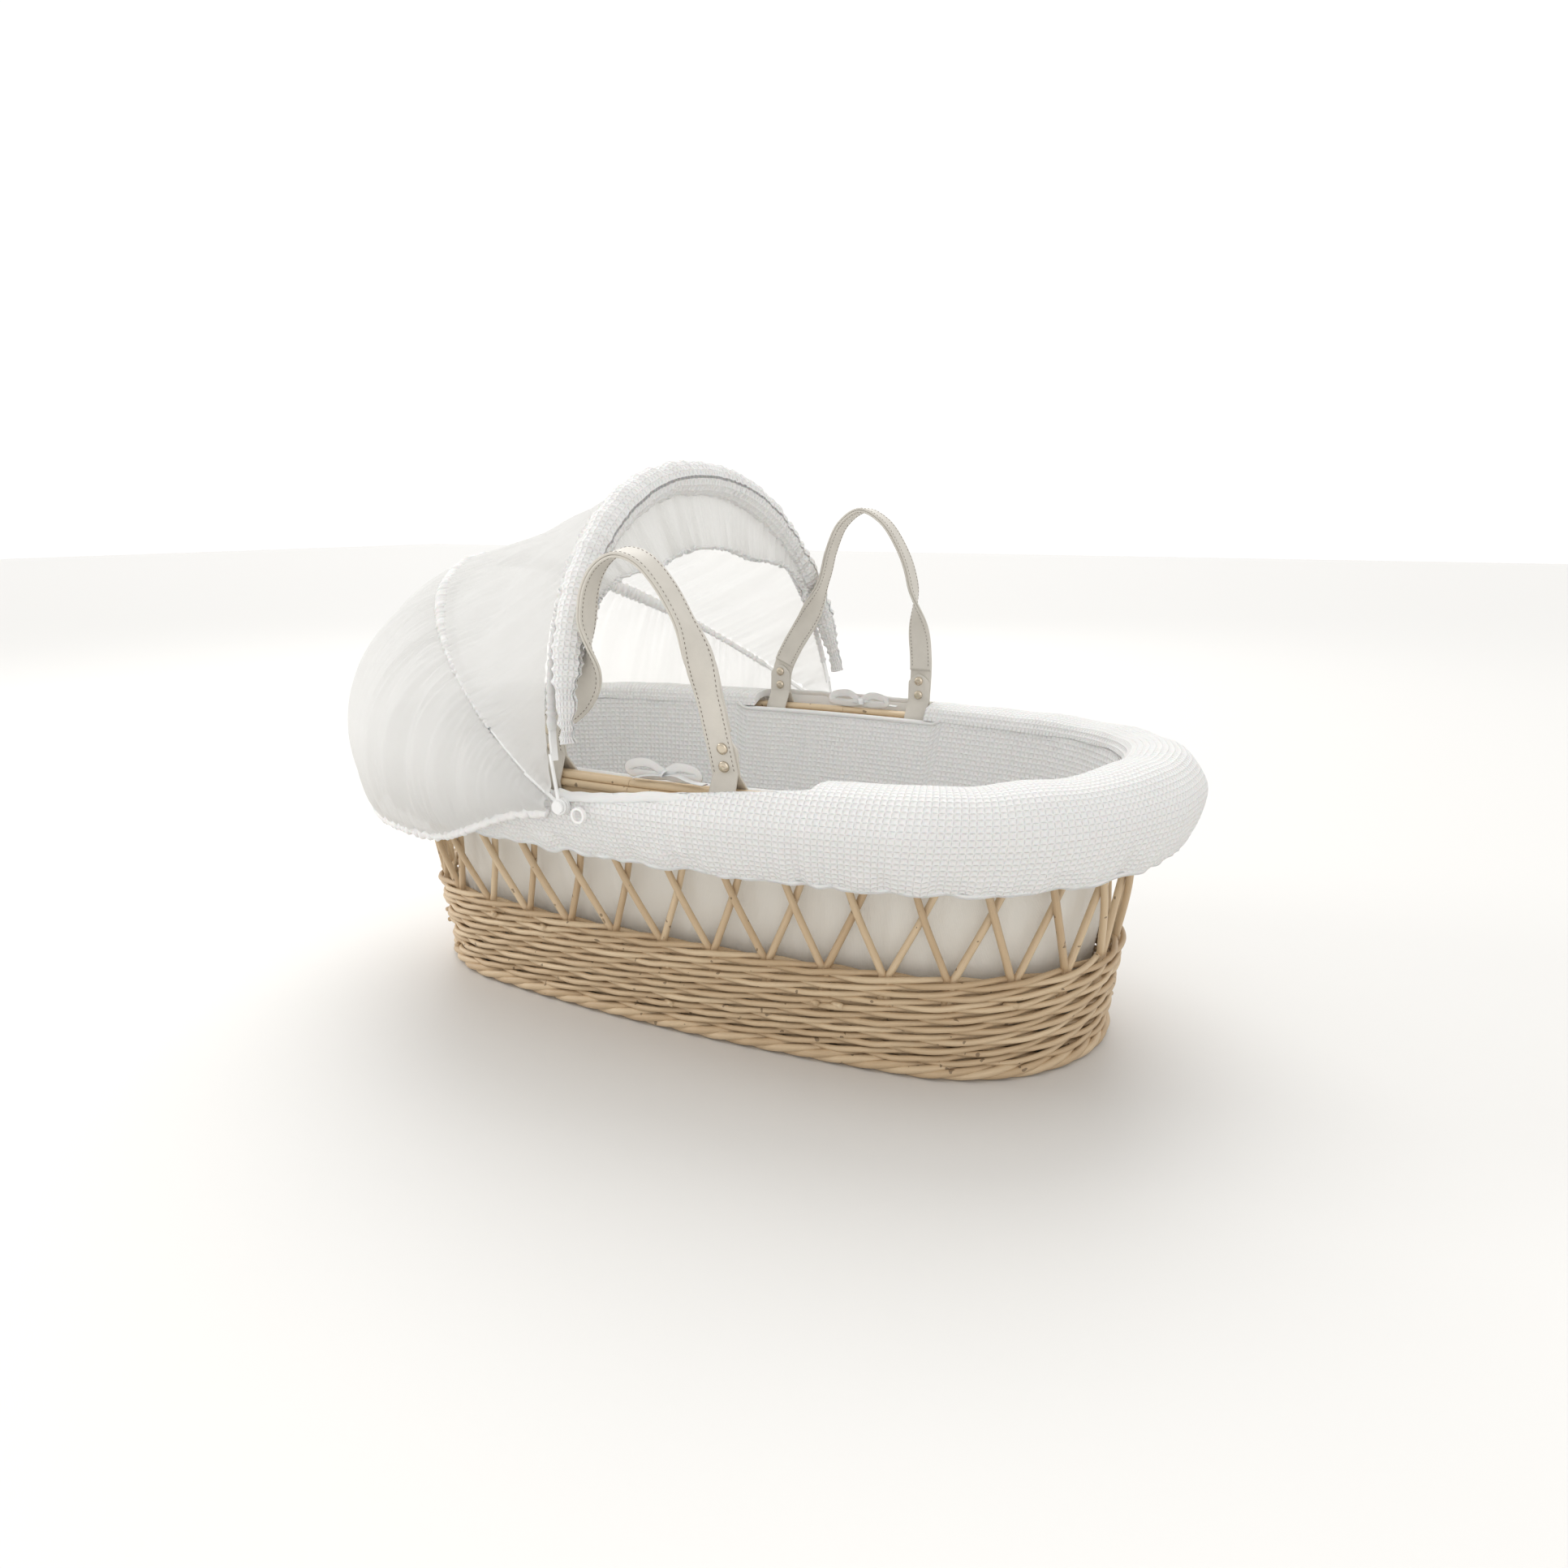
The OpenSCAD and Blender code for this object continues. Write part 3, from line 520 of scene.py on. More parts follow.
def foot_strand(phase):
    """One rod of the thick rolled border that the basket stands on."""
    u = np.linspace(0.5, 1.5, int(900 * FINE))
    turn = TAU * (u * 15 + phase / FOOT_RODS)
    off = 0.0052 + 0.0050 * np.cos(turn)
    z = 0.0076 + 0.0036 * np.sin(turn)
    thick = 0.0038 + 0.0002 * ripple(u, 5, 40, 340 + phase)
    return tube_parts(wall(u, off, z), thick, 10)


def stake(index, direction):
    """A stake: upright behind the weave, then a lean to the next pair, crossing its neighbour."""
    step = 1 / STAKE_PAIRS
    rng = np.random.default_rng(index * 4 + direction + 9)
    u = (index + 0.5) * step
    side = direction * 0.0028
    wobble = rng.normal(0, 0.0006, 4)
    u0 = u + side / RIM_LENGTH + wobble[0] / RIM_LENGTH
    u2 = u + direction * step - side / RIM_LENGTH + wobble[2] / RIM_LENGTH
    points = [
        wall(u0, 0.0, 0.060),
        wall(u0, 0.0, 0.094),
        wall(u0 + (u2 - u0) * 0.08, -direction * 0.0008, 0.107),
        wall((u0 + u2) / 2 + wobble[1] / RIM_LENGTH, -direction * 0.0036, 0.160),
        wall(u2 - (u2 - u0) * 0.06, -direction * 0.0012, 0.226),
        wall(u2, 0.0, 0.2375),
    ]
    path = catmull(points, int(44 * FINE))
    thick = np.linspace(0.0037, 0.0031, len(path)) * rng.uniform(0.93, 1.05)
    return tube_parts(path, thick, 10, up=(0.31, 0.95, 0.05))


wale_tubes = [wale_strand(row, phase) for row in range(WALE_ROWS) for phase in range(3)]
weave = tubes_object("wicker_weave", wale_tubes, 3)
place(weave, WILLOW, replaces=("weave_outer_rods", "weave_inner_rods"))

border = tubes_object("wicker_foot_border", [foot_strand(k) for k in range(FOOT_RODS)], 4)
place(border, WILLOW, replaces=("foot_border",))

stake_tubes = [stake(index, direction) for index in range(STAKE_PAIRS) for direction in (-1, 1)]
stakes = tubes_object("wicker_stakes", stake_tubes, 5)
place(stakes, WILLOW, replaces=("stakes_forward", "stakes_backward"))


def cut_end(index):
    """The slanted end of a rod that sticks out of the weave a little."""
    rng = np.random.default_rng(700 + index)
    u = rng.random()
    z = WALE_LOW + rng.integers(0, WALE_ROWS) * WALE_STEP + rng.uniform(-0.002, 0.002)
    start = wall(u, 0.004, z)
    end = wall(u + 0.006, 0.0108, z + 0.001)
    return tube_parts(np.linspace(start, end, 4), 0.0026, 9)


ends = tubes_object("wicker_rod_ends", [cut_end(i) for i in range(26)], 6)
place(ends, WILLOW)

# ---------- liner

# Outline of the roll: distance outside the rim line, and height.
ROLL_PROFILE = [
    (-0.0279, RIM_Z + 0.0065),
    (-0.0270, RIM_Z + 0.0135),
    (-0.0230, CREST_Z - 0.0026),
    (-0.0080, CREST_Z + 0.0005),
    (0.0080, CREST_Z + 0.0005),
    (0.0240, CREST_Z - 0.0035),
    (0.0380, CREST_Z - 0.0150),
    (0.0475, CREST_Z - 0.0290),
    (0.0490, CREST_Z - 0.0440),
    (0.0460, SKIRT_Z + 0.0160),
    (0.0400, SKIRT_Z + 0.0010),
    (0.0345, SKIRT_Z + 0.0010),
    (0.0310, SKIRT_Z + 0.0200),
    (0.0270, RIM_Z - 0.0120),
    (0.0205, RIM_Z + 0.0040),
    (0.0130, RIM_Z + 0.0115),
    (0.0000, RIM_Z + 0.0140),
    (-0.0130, RIM_Z + 0.0132),
]


def end_rise(u):
    """The roll rides up a little at both ends of the basket."""
    return 0.007 * (np.abs(wall(u, 0, RIM_Z)[..., 0]) / RIM_A) ** 6


def liner_roll():
    """The padded roll over the rim, pleated towards its lower edge and calm beside the hood pivots."""
    u = round_shares(1100)
    profile = catmull(ROLL_PROFILE, 90, closed=True)
    share = np.linspace(0, 1, len(profile), endpoint=False)
    tangent = np.roll(profile, -1, 0) - np.roll(profile, 1, 0)
    out = unit(np.stack([-tangent[:, 1], tangent[:, 0]], 1))
    low = smooth((CREST_Z - 0.018 - profile[:, 1]) / 0.055)[:, None]
    crown = 1 - low
    outside = (share < 0.62)[:, None]
    pleat = ripple(u, 50, 120, 21)[None] * (0.0001 + 0.0012 * low**2)
    lumps = ripple(u, 6, 34, 22)[None] * 0.0013
    slant = ripple(u[None] + 0.02 * share[:, None], 10, 36, 23) * 0.0007 * crown
    amount = np.where(outside, pleat + lumps + slant, 0.3 * lumps)
    x = wall(u, 0, RIM_Z)[:, 0]
    near_hood = smooth((x + 0.26) / 0.05) * smooth((0.02 - x) / 0.04)
    amount = amount * (1 - near_hood) - 0.0006 * near_hood
    off = profile[:, :1] + out[:, :1] * amount
    z = profile[:, 1:] + out[:, 1:] * amount + end_rise(u)[None]
    edge_wave = 0.0022 * ripple(u, 20, 60, 24)[None] * smooth((low - 0.9) * 10)
    z = np.where(low > 0.9, z + edge_wave, z)
    points = wall(u[None], off, z)
    return grid_object("liner_roll_cover", points, True, True)


def slot_edge(slot, count, inset=0.0):
    """x, y and crown height along a slot's outer edge, y measured outwards from the middle."""
    rows = np.array(slot)
    x = np.linspace(rows[0, 0] + inset, rows[-1, 0] - inset, count)
    off = np.interp(x, rows[:, 0], rows[:, 1])
    crown = np.array(CROWN)
    return x, RIM_B + off - rim_drop(x), np.interp(off, crown[:, 0], crown[:, 1])


def slot_cutter(side, slot):
    """A box with a long curved outer face that opens the crown of the roll."""
    x, outer, _ = slot_edge(slot, 41)
    inner = np.full_like(x, RIM_B - 0.046)
    outline = np.vstack([np.stack([x, outer], 1), np.stack([x, inner], 1)[::-1]])
    outline[:, 1] *= side
    n = len(outline)
    low = np.column_stack([outline, np.full(n, RIM_Z - 0.004)])
    high = np.column_stack([outline, np.full(n, RIM_Z + 0.045)])
    mesh = bpy.data.meshes.new("cutter")
    sides = [(i, (i + 1) % n, n + (i + 1) % n, n + i) for i in range(n)]
    caps = [tuple(range(n))[::-1], tuple(range(n, 2 * n))]
    faces = sides + caps if side < 0 else [face[::-1] for face in sides + caps]
    mesh.from_pydata(np.vstack([low, high]).tolist(), [], faces)
    mesh.update()
    return linked("cutter", mesh)


def cut(obj, cutters):
    """Takes the cutters out of the piece and removes them."""
    for cutter in cutters:
        modifier = obj.modifiers.new("cut", "BOOLEAN")
        modifier.operation = "DIFFERENCE"
        modifier.object = cutter
        modifier.solver = "EXACT"
    graph = bpy.context.evaluated_depsgraph_get()
    mesh = bpy.data.meshes.new_from_object(obj.evaluated_get(graph))
    obj.modifiers.clear()
    obj.data = mesh
    for cutter in cutters:
        bpy.data.objects.remove(cutter)


roll = liner_roll()
cut(roll, [slot_cutter(-1, SLOT_NEAR), slot_cutter(1, SLOT_FAR)])
place(roll, WAFFLE, replaces=("liner_roll",))


def slot_share(x, y):
    """1 inside the slots' stretch of the rim, 0 well away from it."""
    near = smooth((x + 0.136) / 0.02) * smooth((0.208 - x) / 0.02)
    far = smooth((x + 0.137) / 0.02) * smooth((0.142 - x) / 0.02)
    return np.where(y < 0, near, far)


def wall_pad():
    """The quilted wall inside the basket, lower along the slots, with a plain hidden back."""
    u = round_shares(900)
    steps = len(u)
    rim = wall(u, 0, RIM_Z)
    top = RIM_Z + 0.012 - 0.009 * slot_share(rim[:, 0], rim[:, 1])
    share = np.linspace(0, 1, 44)
    foot = 0.026
    z_in = foot + (top[None] - 0.029) * share[:, None]
    crease = -np.abs(ripple(u, 7, 26, 31))[None] * 0.0032 + 0.0018
    fade = np.sin(math.pi * np.clip(share, 0.02, 0.97))[:, None] ** 0.5
    wave = ripple(u[None] + 0.01 * share[:, None], 14, 60, 32) * 0.0011
    inside = -0.0272 + (crease + wave) * fade * -1
    bottom = np.full((1, steps), -0.0232)
    arch_off = np.stack([np.full(steps, v) for v in (-0.0258, -0.0232, -0.0206)])
    arch_z = np.stack([top - 0.0008, top, top - 0.0008])
    outside_z = np.stack([top - 0.003, np.full(steps, 0.14), np.full(steps, foot)])
    off = np.vstack([bottom, inside, arch_off, np.full((3, steps), -0.0194)])
    z = np.vstack([np.full((1, steps), 0.025), z_in, arch_z, outside_z])
    points = wall(u[None], off, z)
    return grid_object("liner_wall_quilt", points, True, True)


pad = place(wall_pad(), WAFFLE, replaces=("liner_wall_pad",))


def bag():
    """The cotton seen between the stakes, hanging inside the wicker with soft gathers."""
    u = round_shares(1000)
    foot, height = 0.022, 0.223
    z = np.linspace(foot, 0.245, 30)[:, None]
    fold = ripple(u, 60, 130, 41)[None] * 0.0006 + ripple(u, 10, 40, 42)[None] * 0.0011
    off = -0.0168 + fold * np.sin(math.pi * (z - foot) / height)
    points = wall(u[None], off, z)
    floor_u = np.linspace(0.97, 0.0, 10)[:, None, None]
    bottom = points[0][None] * np.array([1, 1, 0]) * floor_u + np.array([0, 0, 0.0215])
    points = np.concatenate([bottom[::-1], points], 0)
    return grid_object("liner_bag_cloth", points, close_cols=True)


bag_cloth = place(bag(), CREAM, replaces=("liner_bag",))


def hem_ruffle():
    """The elastic hem under the skirt."""
    steps = int(1100 * FINE)
    u = np.arange(steps + 1) / steps
    off = 0.0368 + 0.0012 * ripple(u, 40, 110, 51)
    z = SKIRT_Z - 0.001 + 0.0022 * ripple(u, 20, 60, 24) + 0.0006 * ripple(u, 60, 140, 52)
    z = z + end_rise(u)
    return tubes_object("skirt_hem", [tube_parts(wall(u, off, z), 0.0024, 8)], 7)


place(hem_ruffle(), COTTON, replaces=("skirt_elastic",))


def binding(side, slot, start, name, node):
    """A folded tape over the outer edge of a slot, from x = start to its foot end."""
    x, y, crown = slot_edge(slot, 110, 0.014)
    sag = 0.0006 * ripple(x * 4, 3, 14, 60 + side)
    outer = np.column_stack([x, side * (y + 0.0008), crown - 0.0008 + sag])[x > start]
    tape = [tube_parts(outer, 0.0048, 12, up=(0, 0.8 * side, 0.6), flat=0.42)]
    place(tubes_object(name, tape, 8), COTTON, replaces=(node,))


binding(-1, SLOT_NEAR, -0.050, "slot_binding_tape_near", "slot_binding_near")
binding(1, SLOT_FAR, -0.100, "slot_binding_tape_far", "slot_binding_far")


def inner_binding(side, slot, name):
    """The same tape along the top of the wall pad inside the slot."""
    x = np.linspace(slot[0][0] - 0.022, slot[-1][0] + 0.022, 120)
    y = RIM_B - rim_drop(x) - 0.0235
    rim = np.column_stack([x, side * y])
    z = RIM_Z + 0.0125 - 0.009 * slot_share(x, np.full_like(x, side))
    tape = [tube_parts(np.column_stack([rim, z]), 0.0045, 12, flat=0.62)]
    place(tubes_object(name, tape, 18), COTTON)


inner_binding(-1, SLOT_NEAR, "slot_inner_tape_near")
inner_binding(1, SLOT_FAR, "slot_inner_tape_far")


def ribbon(path, width, up):
    """A flat tape: a tube squeezed to near the tape's thickness."""
    thick = 0.0006
    return tube_parts(catmull(path, 40), width / 2, 10, up=up, flat=2 * thick / width)


# The ribbons of a bow, two loops, two tails and the knot: width, up direction, and points from the knot.
BOW_RIBBONS = (
    (0.009, (0, 1, 0.2), (
        (0, 0, 0.001), (-0.015, 0.003, 0.010), (-0.033, 0.003, 0.008),
        (-0.037, 0.001, 0.001), (-0.018, 0, -0.001), (0, 0, 0.0005),
    )),
    (0.009, (0, 1, 0.2), (
        (0, 0, 0.001), (0.013, 0.002, 0.009), (0.029, 0.001, 0.007),
        (0.032, 0, 0.001), (0.015, 0, -0.001), (0, 0, 0.0005),
    )),
    (0.009, (0, 0, 1), ((0, 0, 0), (0.014, 0.004, 0.002), (0.030, 0.007, -0.001), (0.044, 0.008, -0.002))),
    (0.009, (0, 0, 1), ((0, 0, 0), (-0.014, 0.005, 0.000), (-0.028, 0.008, -0.003))),
    (0.007, (0, 0, 1), (
        (-0.003, 0.004, -0.001), (-0.001, 0.002, 0.004), (0.002, -0.003, 0.004), (0.004, -0.005, -0.001),
    )),
)


def bow(name, x, side, node):
    """A ribbon tied round the rim: two loops, a knot and two tails."""
    knot_at = np.array([x, side * (RIM_B - 0.001), RIM_Z + 0.0155])
    parts = []
    for width, up, rows in BOW_RIBBONS:
        path = [knot_at + np.array([dx, side * dy, dz]) for dx, dy, dz in rows]
        parts.append(ribbon(path, width, up=up))
    place(tubes_object(name, parts, 9), COTTON, replaces=(node,))


bow("ribbon_bow_near", 0.034, -1, "liner_tie_near")
bow("ribbon_bow_far", 0.020, 1, "liner_tie_far")


def mattress():
    """A mattress in its fitted sheet, crowned between its edges, with soft creases in the sheet."""
    steps = int(420 * FINE)
    u = np.arange(steps) / steps
    edge, round_by = -0.0305, 0.012
    low, high = 0.0232, 0.0572
    mid, lift = (low + high) / 2, (high - low) / 2
    rows = []
    for angle in np.radians(np.linspace(-90, 90, 15)):
        bulge = round_by * math.cos(angle)
        z = mid + lift * math.sin(angle)
        rows.append((edge - round_by + bulge, z))
    side = [wall(u, off, np.full(steps, z)) for off, z in rows]
    rim = side[-1]
    top = []
    for share in np.linspace(0.96, 0.02, int(34 * FINE)):
        crown = 0.0035 * (1 - share**2)
        point = rim * np.array([share, share, 1.0])
        crease = 0.0009 * ripple(u * 2 + share, 3, 16, 71) * share
        point[:, 2] += crown + crease
        top.append(point)
    points = np.stack([*side, *top])
    return grid_object("mattress_in_sheet", points, close_cols=True)


bed = place(mattress(), COTTON, replaces=("mattress_core", "mattress_sheet"))

# ---------- handles

NEAR_LEAN, FAR_LEAN = 9.0, 1.0
STRAP_W = 0.025
LEATHER_T = 0.0022
LAYER_OFF = LEATHER_T / 2 + 0.00015
LOOP_R = 0.0134
LOOP_HALF = 38.0
TAB_LOW, TAB_TOP = 0.0228, 0.055
TAB_ROWS = 16
STUD_Z = (0.031, 0.047)

# Middle lines of the straps as seen from the side, from foot to foot: along and up, in millimetres.
NEAR_ARCH = [
    (-85, 24), (-85, 44), (-78, 57), (-60, 68), (-44, 82), (-33, 102), (-30, 128),
    (-28, 154), (-20, 180), (-5, 199), (15, 208), (36, 202), (54, 182), (68, 155),
    (79, 124), (86, 90), (91, 56), (95, 24),
]
FAR_ARCH = [
    (-85, 24), (-83, 50), (-70, 78), (-48, 114), (-29, 158), (-20, 192), (-6, 222),
    (19, 238), (46, 226), (66, 200), (80, 168), (90, 118), (96, 70), (95, 24),
]


def arch_frames(arch, count):
    """Centre, face normal and width direction along the arch, in the handle's own frame."""
    flat = catmull(np.array(arch) / 1000, count)
    centre = np.column_stack([flat[:, 0], np.zeros(count), flat[:, 1]])
    tangent = unit(np.gradient(centre, axis=0))
    up = np.cross(np.broadcast_to([0.0, 1.0, 0.0], centre.shape), tangent)
    turn = (math.pi / 2 * smooth((centre[:, 2] - 0.088) / 0.070))[:, None]
    normal = np.array([0.0, 1.0, 0.0]) * np.cos(turn) - up * np.sin(turn)
    return centre, normal, np.cross(normal, tangent)


def loop_frames(x, direction, count=34):
    """Round under the rim and up the inside to the tab's tip."""
    angle = np.radians(90 - LOOP_HALF + np.linspace(0, 180 + 2 * LOOP_HALF, count))
    radial = np.column_stack([np.zeros(count), np.sin(angle), np.cos(angle)])
    centre = radial * (LOOP_R - LAYER_OFF) + np.array([x, 0, 0])
    rise = np.linspace(LOOP_R / math.sin(math.radians(LOOP_HALF)) + 0.001, TAB_TOP, TAB_ROWS)
    tab = np.column_stack([np.full(TAB_ROWS, x), np.zeros(TAB_ROWS), rise])
    centre = np.vstack([centre, tab])
    normal = np.vstack([radial, np.tile([0.0, -1.0, 0.0], (TAB_ROWS, 1))])
    across = np.tile([float(direction), 0, 0], (len(centre), 1))
    return centre, normal, across


def strap_section():
    """Outline of a cut across the strap, with eased corners, as shares of half its width and thickness."""
    ease = 0.12
    corner = [(1, -1 + 2 * ease), (1, 1 - 2 * ease), (1 - 0.03, 1), (0.5, 1), (0, 1), (-0.5, 1)]
    half = corner + [(-1 + 0.03, 1), (-1, 1 - 2 * ease), (-1, -1 + 2 * ease), (-1 + 0.03, -1)]
    return np.array(half + [(-0.5, -1), (0, -1), (0.5, -1), (1 - 0.03, -1)])


def strip(frames, off, width_scale):
    """A leather strip along frames, off from their centre along the face normal."""
    centre, normal, across = frames
    section = strap_section()
    width = (STRAP_W / 2 * width_scale)[:, None, None]
    points = (centre + normal * off)[:, None]
    points = points + across[:, None] * section[None, :, :1] * width
    points = points + normal[:, None] * section[None, :, 1:] * LEATHER_T / 2
    rows, cols = points.shape[:2]
    faces = np.vstack([grid_faces(rows, cols, close_cols=True), end_fans(rows, cols)])
    vertices = np.vstack([points.reshape(-1, 3), points[0].mean(0), points[-1].mean(0)])
    return vertices, faces, np.zeros((len(vertices), 2))


def stitches(frames, off, sign):
    """Two rows of short stitches along a strip's face."""
    centre, normal, across = frames
    length = np.concatenate([[0], np.cumsum(np.linalg.norm(np.diff(centre, axis=0), axis=1))])
    spots = np.arange(0.004, length[-1] - 0.004, 0.0040)
    parts = []
    for edge in (-1, 1):
        for spot in spots:
            ends = np.array([spot, spot + 0.0019])
            c = np.column_stack([np.interp(ends, length, centre[:, i]) for i in range(3)])
            n = np.column_stack([np.interp(ends, length, normal[:, i]) for i in range(3)])
            a = np.column_stack([np.interp(ends, length, across[:, i]) for i in range(3)])
            path = c + unit(n) * (off + sign * (LEATHER_T / 2 + 0.00005))
            path = path + unit(a) * edge * (STRAP_W / 2 - 0.0028)
            parts.append(tube_parts(path, 0.00032, 5, up=(0.3, 0.2, 0.9)))
    return parts


def to_rim(vertices, side, lean):
    """From the handle's own upright frame to its place on the rim."""
    a = math.radians(lean)
    v = np.array(vertices, float)
    y = v[:, 1] * math.cos(a) + v[:, 2] * math.sin(a)
    z = -v[:, 1] * math.sin(a) + v[:, 2] * math.cos(a)
    return np.column_stack([v[:, 0], side * (HANDLE_Y + y), RIM_Z + z])


def moved(parts, side, lean):
    """Parts taken from the handle's own frame to the rim, with their faces the right way out."""
    out = []
    for v, f, uv in parts:
        faces = f[:, ::-1] if side < 0 else f
        out.append((to_rim(v, side, lean), faces, uv))
    return out


# Radius and height of the rings of a press-stud cap, from its back to the small dimple in its face.
STUD_RINGS = (
    (0.0002, 0.0), (0.0050, 0.0), (0.0050, 0.0009), (0.0046, 0.0015), (0.0030, 0.0020),
    (0.0012, 0.0021), (0.0001, 0.0019),
)


def dome(centre, direction):
    """A press-stud cap with a domed face."""
    angle = np.arange(28) * TAU / 28
    rings = [
        [[r * math.cos(a), direction * h, r * math.sin(a)] for a in angle] for r, h in STUD_RINGS
    ]
    points = np.array(rings) + np.asarray(centre)
    faces = grid_faces(*points.shape[:2], close_cols=True)
    vertices = points.reshape(-1, 3)
    return vertices, faces if direction < 0 else faces[:, ::-1], np.zeros((len(vertices), 2))


def handle(name, side, lean, arch, body):
    """A handle's outer strap with its end loops, its lining, its stitches and its stud caps."""
    arch_f = arch_frames(arch, int(230 * FINE))
    left = loop_frames(HANDLE_FEET[0], 1)
    right = loop_frames(HANDLE_FEET[1], -1)
    strap_f = tuple(np.vstack([a[::-1], b, c]) for a, b, c in zip(left, arch_f, right))
    count = len(strap_f[0])
    from_end = np.minimum(np.arange(count), np.arange(count)[::-1])
    to_tip = from_end * (TAB_TOP - TAB_LOW) / (TAB_ROWS - 1)
    point = np.sqrt(np.clip(to_tip / 0.009, 0.02, 1))
    strap = strip(strap_f, LAYER_OFF, point)
    keep = arch_f[0][:, 2] > TAB_TOP + 0.003
    lining_f = tuple(part[keep] for part in arch_f)
    lining = strip(lining_f, -LAYER_OFF, np.ones(int(keep.sum())))
    obj = tubes_object(name + "_leather_strap", moved([strap], side, lean), 11)
    place(obj, LEATHER, body, (name + "_strap",))
    obj = tubes_object(name + "_leather_lining", moved([lining], side, lean), 12)
    place(obj, LEATHER, body, (name + "_lining",))
    seams = stitches(arch_f, LAYER_OFF, 1) + stitches(lining_f, -LAYER_OFF, -1)
    obj = tubes_object(name + "_stitches", moved(seams, side, lean), 13)
    place(obj, THREAD, body)
    cap = LAYER_OFF + LEATHER_T / 2
    domes = [
        dome((x, d * cap, z), d) for x in HANDLE_FEET for z in STUD_Z for d in (-1, 1)
    ]
    obj = tubes_object(name + "_stud_caps", moved(domes, side, lean), 14)
    place(obj, NICKEL, body, (name + "_studs",))


handle("handle_near", -1, NEAR_LEAN, NEAR_ARCH, "near_handle")
handle("handle_far", 1, FAR_LEAN, FAR_ARCH, "far_handle")

# ---------- hood

# Each hoop: half width, height, roundness of its arch, and its lean from upright in degrees.
FRONT_ARCH = dict(w=0.270, h=0.280, n=2.15, lean=9.5)
MID_ARCH = dict(w=0.268, h=0.352, n=1.84, lean=56.5)


def arch_in_plane(t, arch):
    """Across and up in the hoop's own plane; t runs from 0 at the near pivot to pi at the far one."""
    c, s = np.cos(t), np.maximum(np.sin(t), 0)
    power = 2 / arch["n"]
    return -arch["w"] * np.sign(c) * np.abs(c) ** power, arch["h"] * s**power


def plane_normal(arch):
    """The direction a hoop faces, towards the foot end."""
    lean = math.radians(arch["lean"])
    return np.array([math.cos(lean), 0, math.sin(lean)])


def hoop_points(t, arch, ahead=0.0, grow=0.0):
    """Points along a hoop, moved ahead along its plane's normal and outwards in the plane."""
    y, h = arch_in_plane(t, arch)
    dy, dh = np.gradient(y), np.gradient(h)
    size = np.maximum(np.hypot(dy, dh), 1e-9)
    y, h = y - grow * dh / size, h + grow * dy / size
    lean = math.radians(arch["lean"])
    x = PIVOT[0] - math.sin(lean) * h + math.cos(lean) * ahead
    z = PIVOT[2] + math.cos(lean) * h + math.sin(lean) * ahead
    return np.stack([x, y, z], -1)


def even_turns(arch, start, count):
    """Values of t that step evenly along the hoop, from start degrees to its mirror."""
    t = np.linspace(math.radians(start), math.pi - math.radians(start), 4000)
    line = hoop_points(t, arch)
    length = np.concatenate([[0], np.cumsum(np.linalg.norm(np.diff(line, axis=0), axis=1))])
    return np.interp(np.linspace(0, length[-1], count), length, t)


def blend_by(obj, a, b, weights):
    """Cloth between two hoops: each vertex turns its own share of the way from body a to body b."""
    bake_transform(obj, a, b, (0, 0, 0.2), (0, 0, 0.5))
    attribute = obj.data.attributes["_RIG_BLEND"]
    attribute.data.foreach_set("value", np.asarray(weights, np.float32).ravel())


COLS = int(560 * FINE)
HOOP_START = 3.0
CANOPY_CENTRE = np.array([-0.120, 0.0, 0.180])


def spread_between(first, last, rows):
    """Points between two lines, the outward direction at each, and its share of the way."""
    f = np.linspace(0, 1, rows)[:, None, None]
    base = first + (last - first) * f
    return base, unit(base - CANOPY_CENTRE), f[..., 0]


def canopy_front():
    """The gathered cloth between the two hoops."""
    across = np.linspace(0, 1, COLS)
    front_turns = even_turns(FRONT_ARCH, HOOP_START, COLS)
    front = hoop_points(front_turns, FRONT_ARCH, ahead=-0.002, grow=0.0062)
    mid = hoop_points(even_turns(MID_ARCH, HOOP_START, COLS), MID_ARCH, ahead=0.002, grow=0.0052)
    base, out, share = spread_between(front, mid, int(70 * FINE))
    tight = np.sin(math.pi * share)
    high = np.sin(math.pi * across)[None] ** 0.7
    sag = -0.0075 * tight * high
    long_folds = ripple(across[None] + 0.010 * share, 10, 34, 81) * 0.0024 * tight
    gather = ripple(across[None] + 0.004 * share, 50, 120, 82) * 0.0020 * share**2
    gather_front = ripple(across[None], 40, 90, 83) * 0.0012 * (1 - share) ** 4
    slack = ripple(across[None] * 0.7 + 0.25 * share, 4, 12, 84) * 0.0022 * tight * high
    points = base + out * (sag + long_folds + gather + gather_front + slack)[..., None]
    obj = grid_object("hood_front_voile", points)
    place(obj, VOILE, None, ("hood_canopy_front",))
    blend_by(obj, FRONT, MIDDLE, np.broadcast_to(share, points.shape[:2]))


def hem_curve(count, grow=0.0):
    """The hood's lower edge, round the head end outside the roll."""
    u_far = share_at(-0.052)
    share = np.linspace(0, 1, count)
    u = (1 - u_far) + (2 * u_far - 1) * share
    drop = smooth(np.minimum(share, 1 - share) * 5.0)
    z = 0.232 + (0.182 - 0.232) * drop
    return wall(u, 0.054 + 0.003 * (1 - drop) + grow, z)


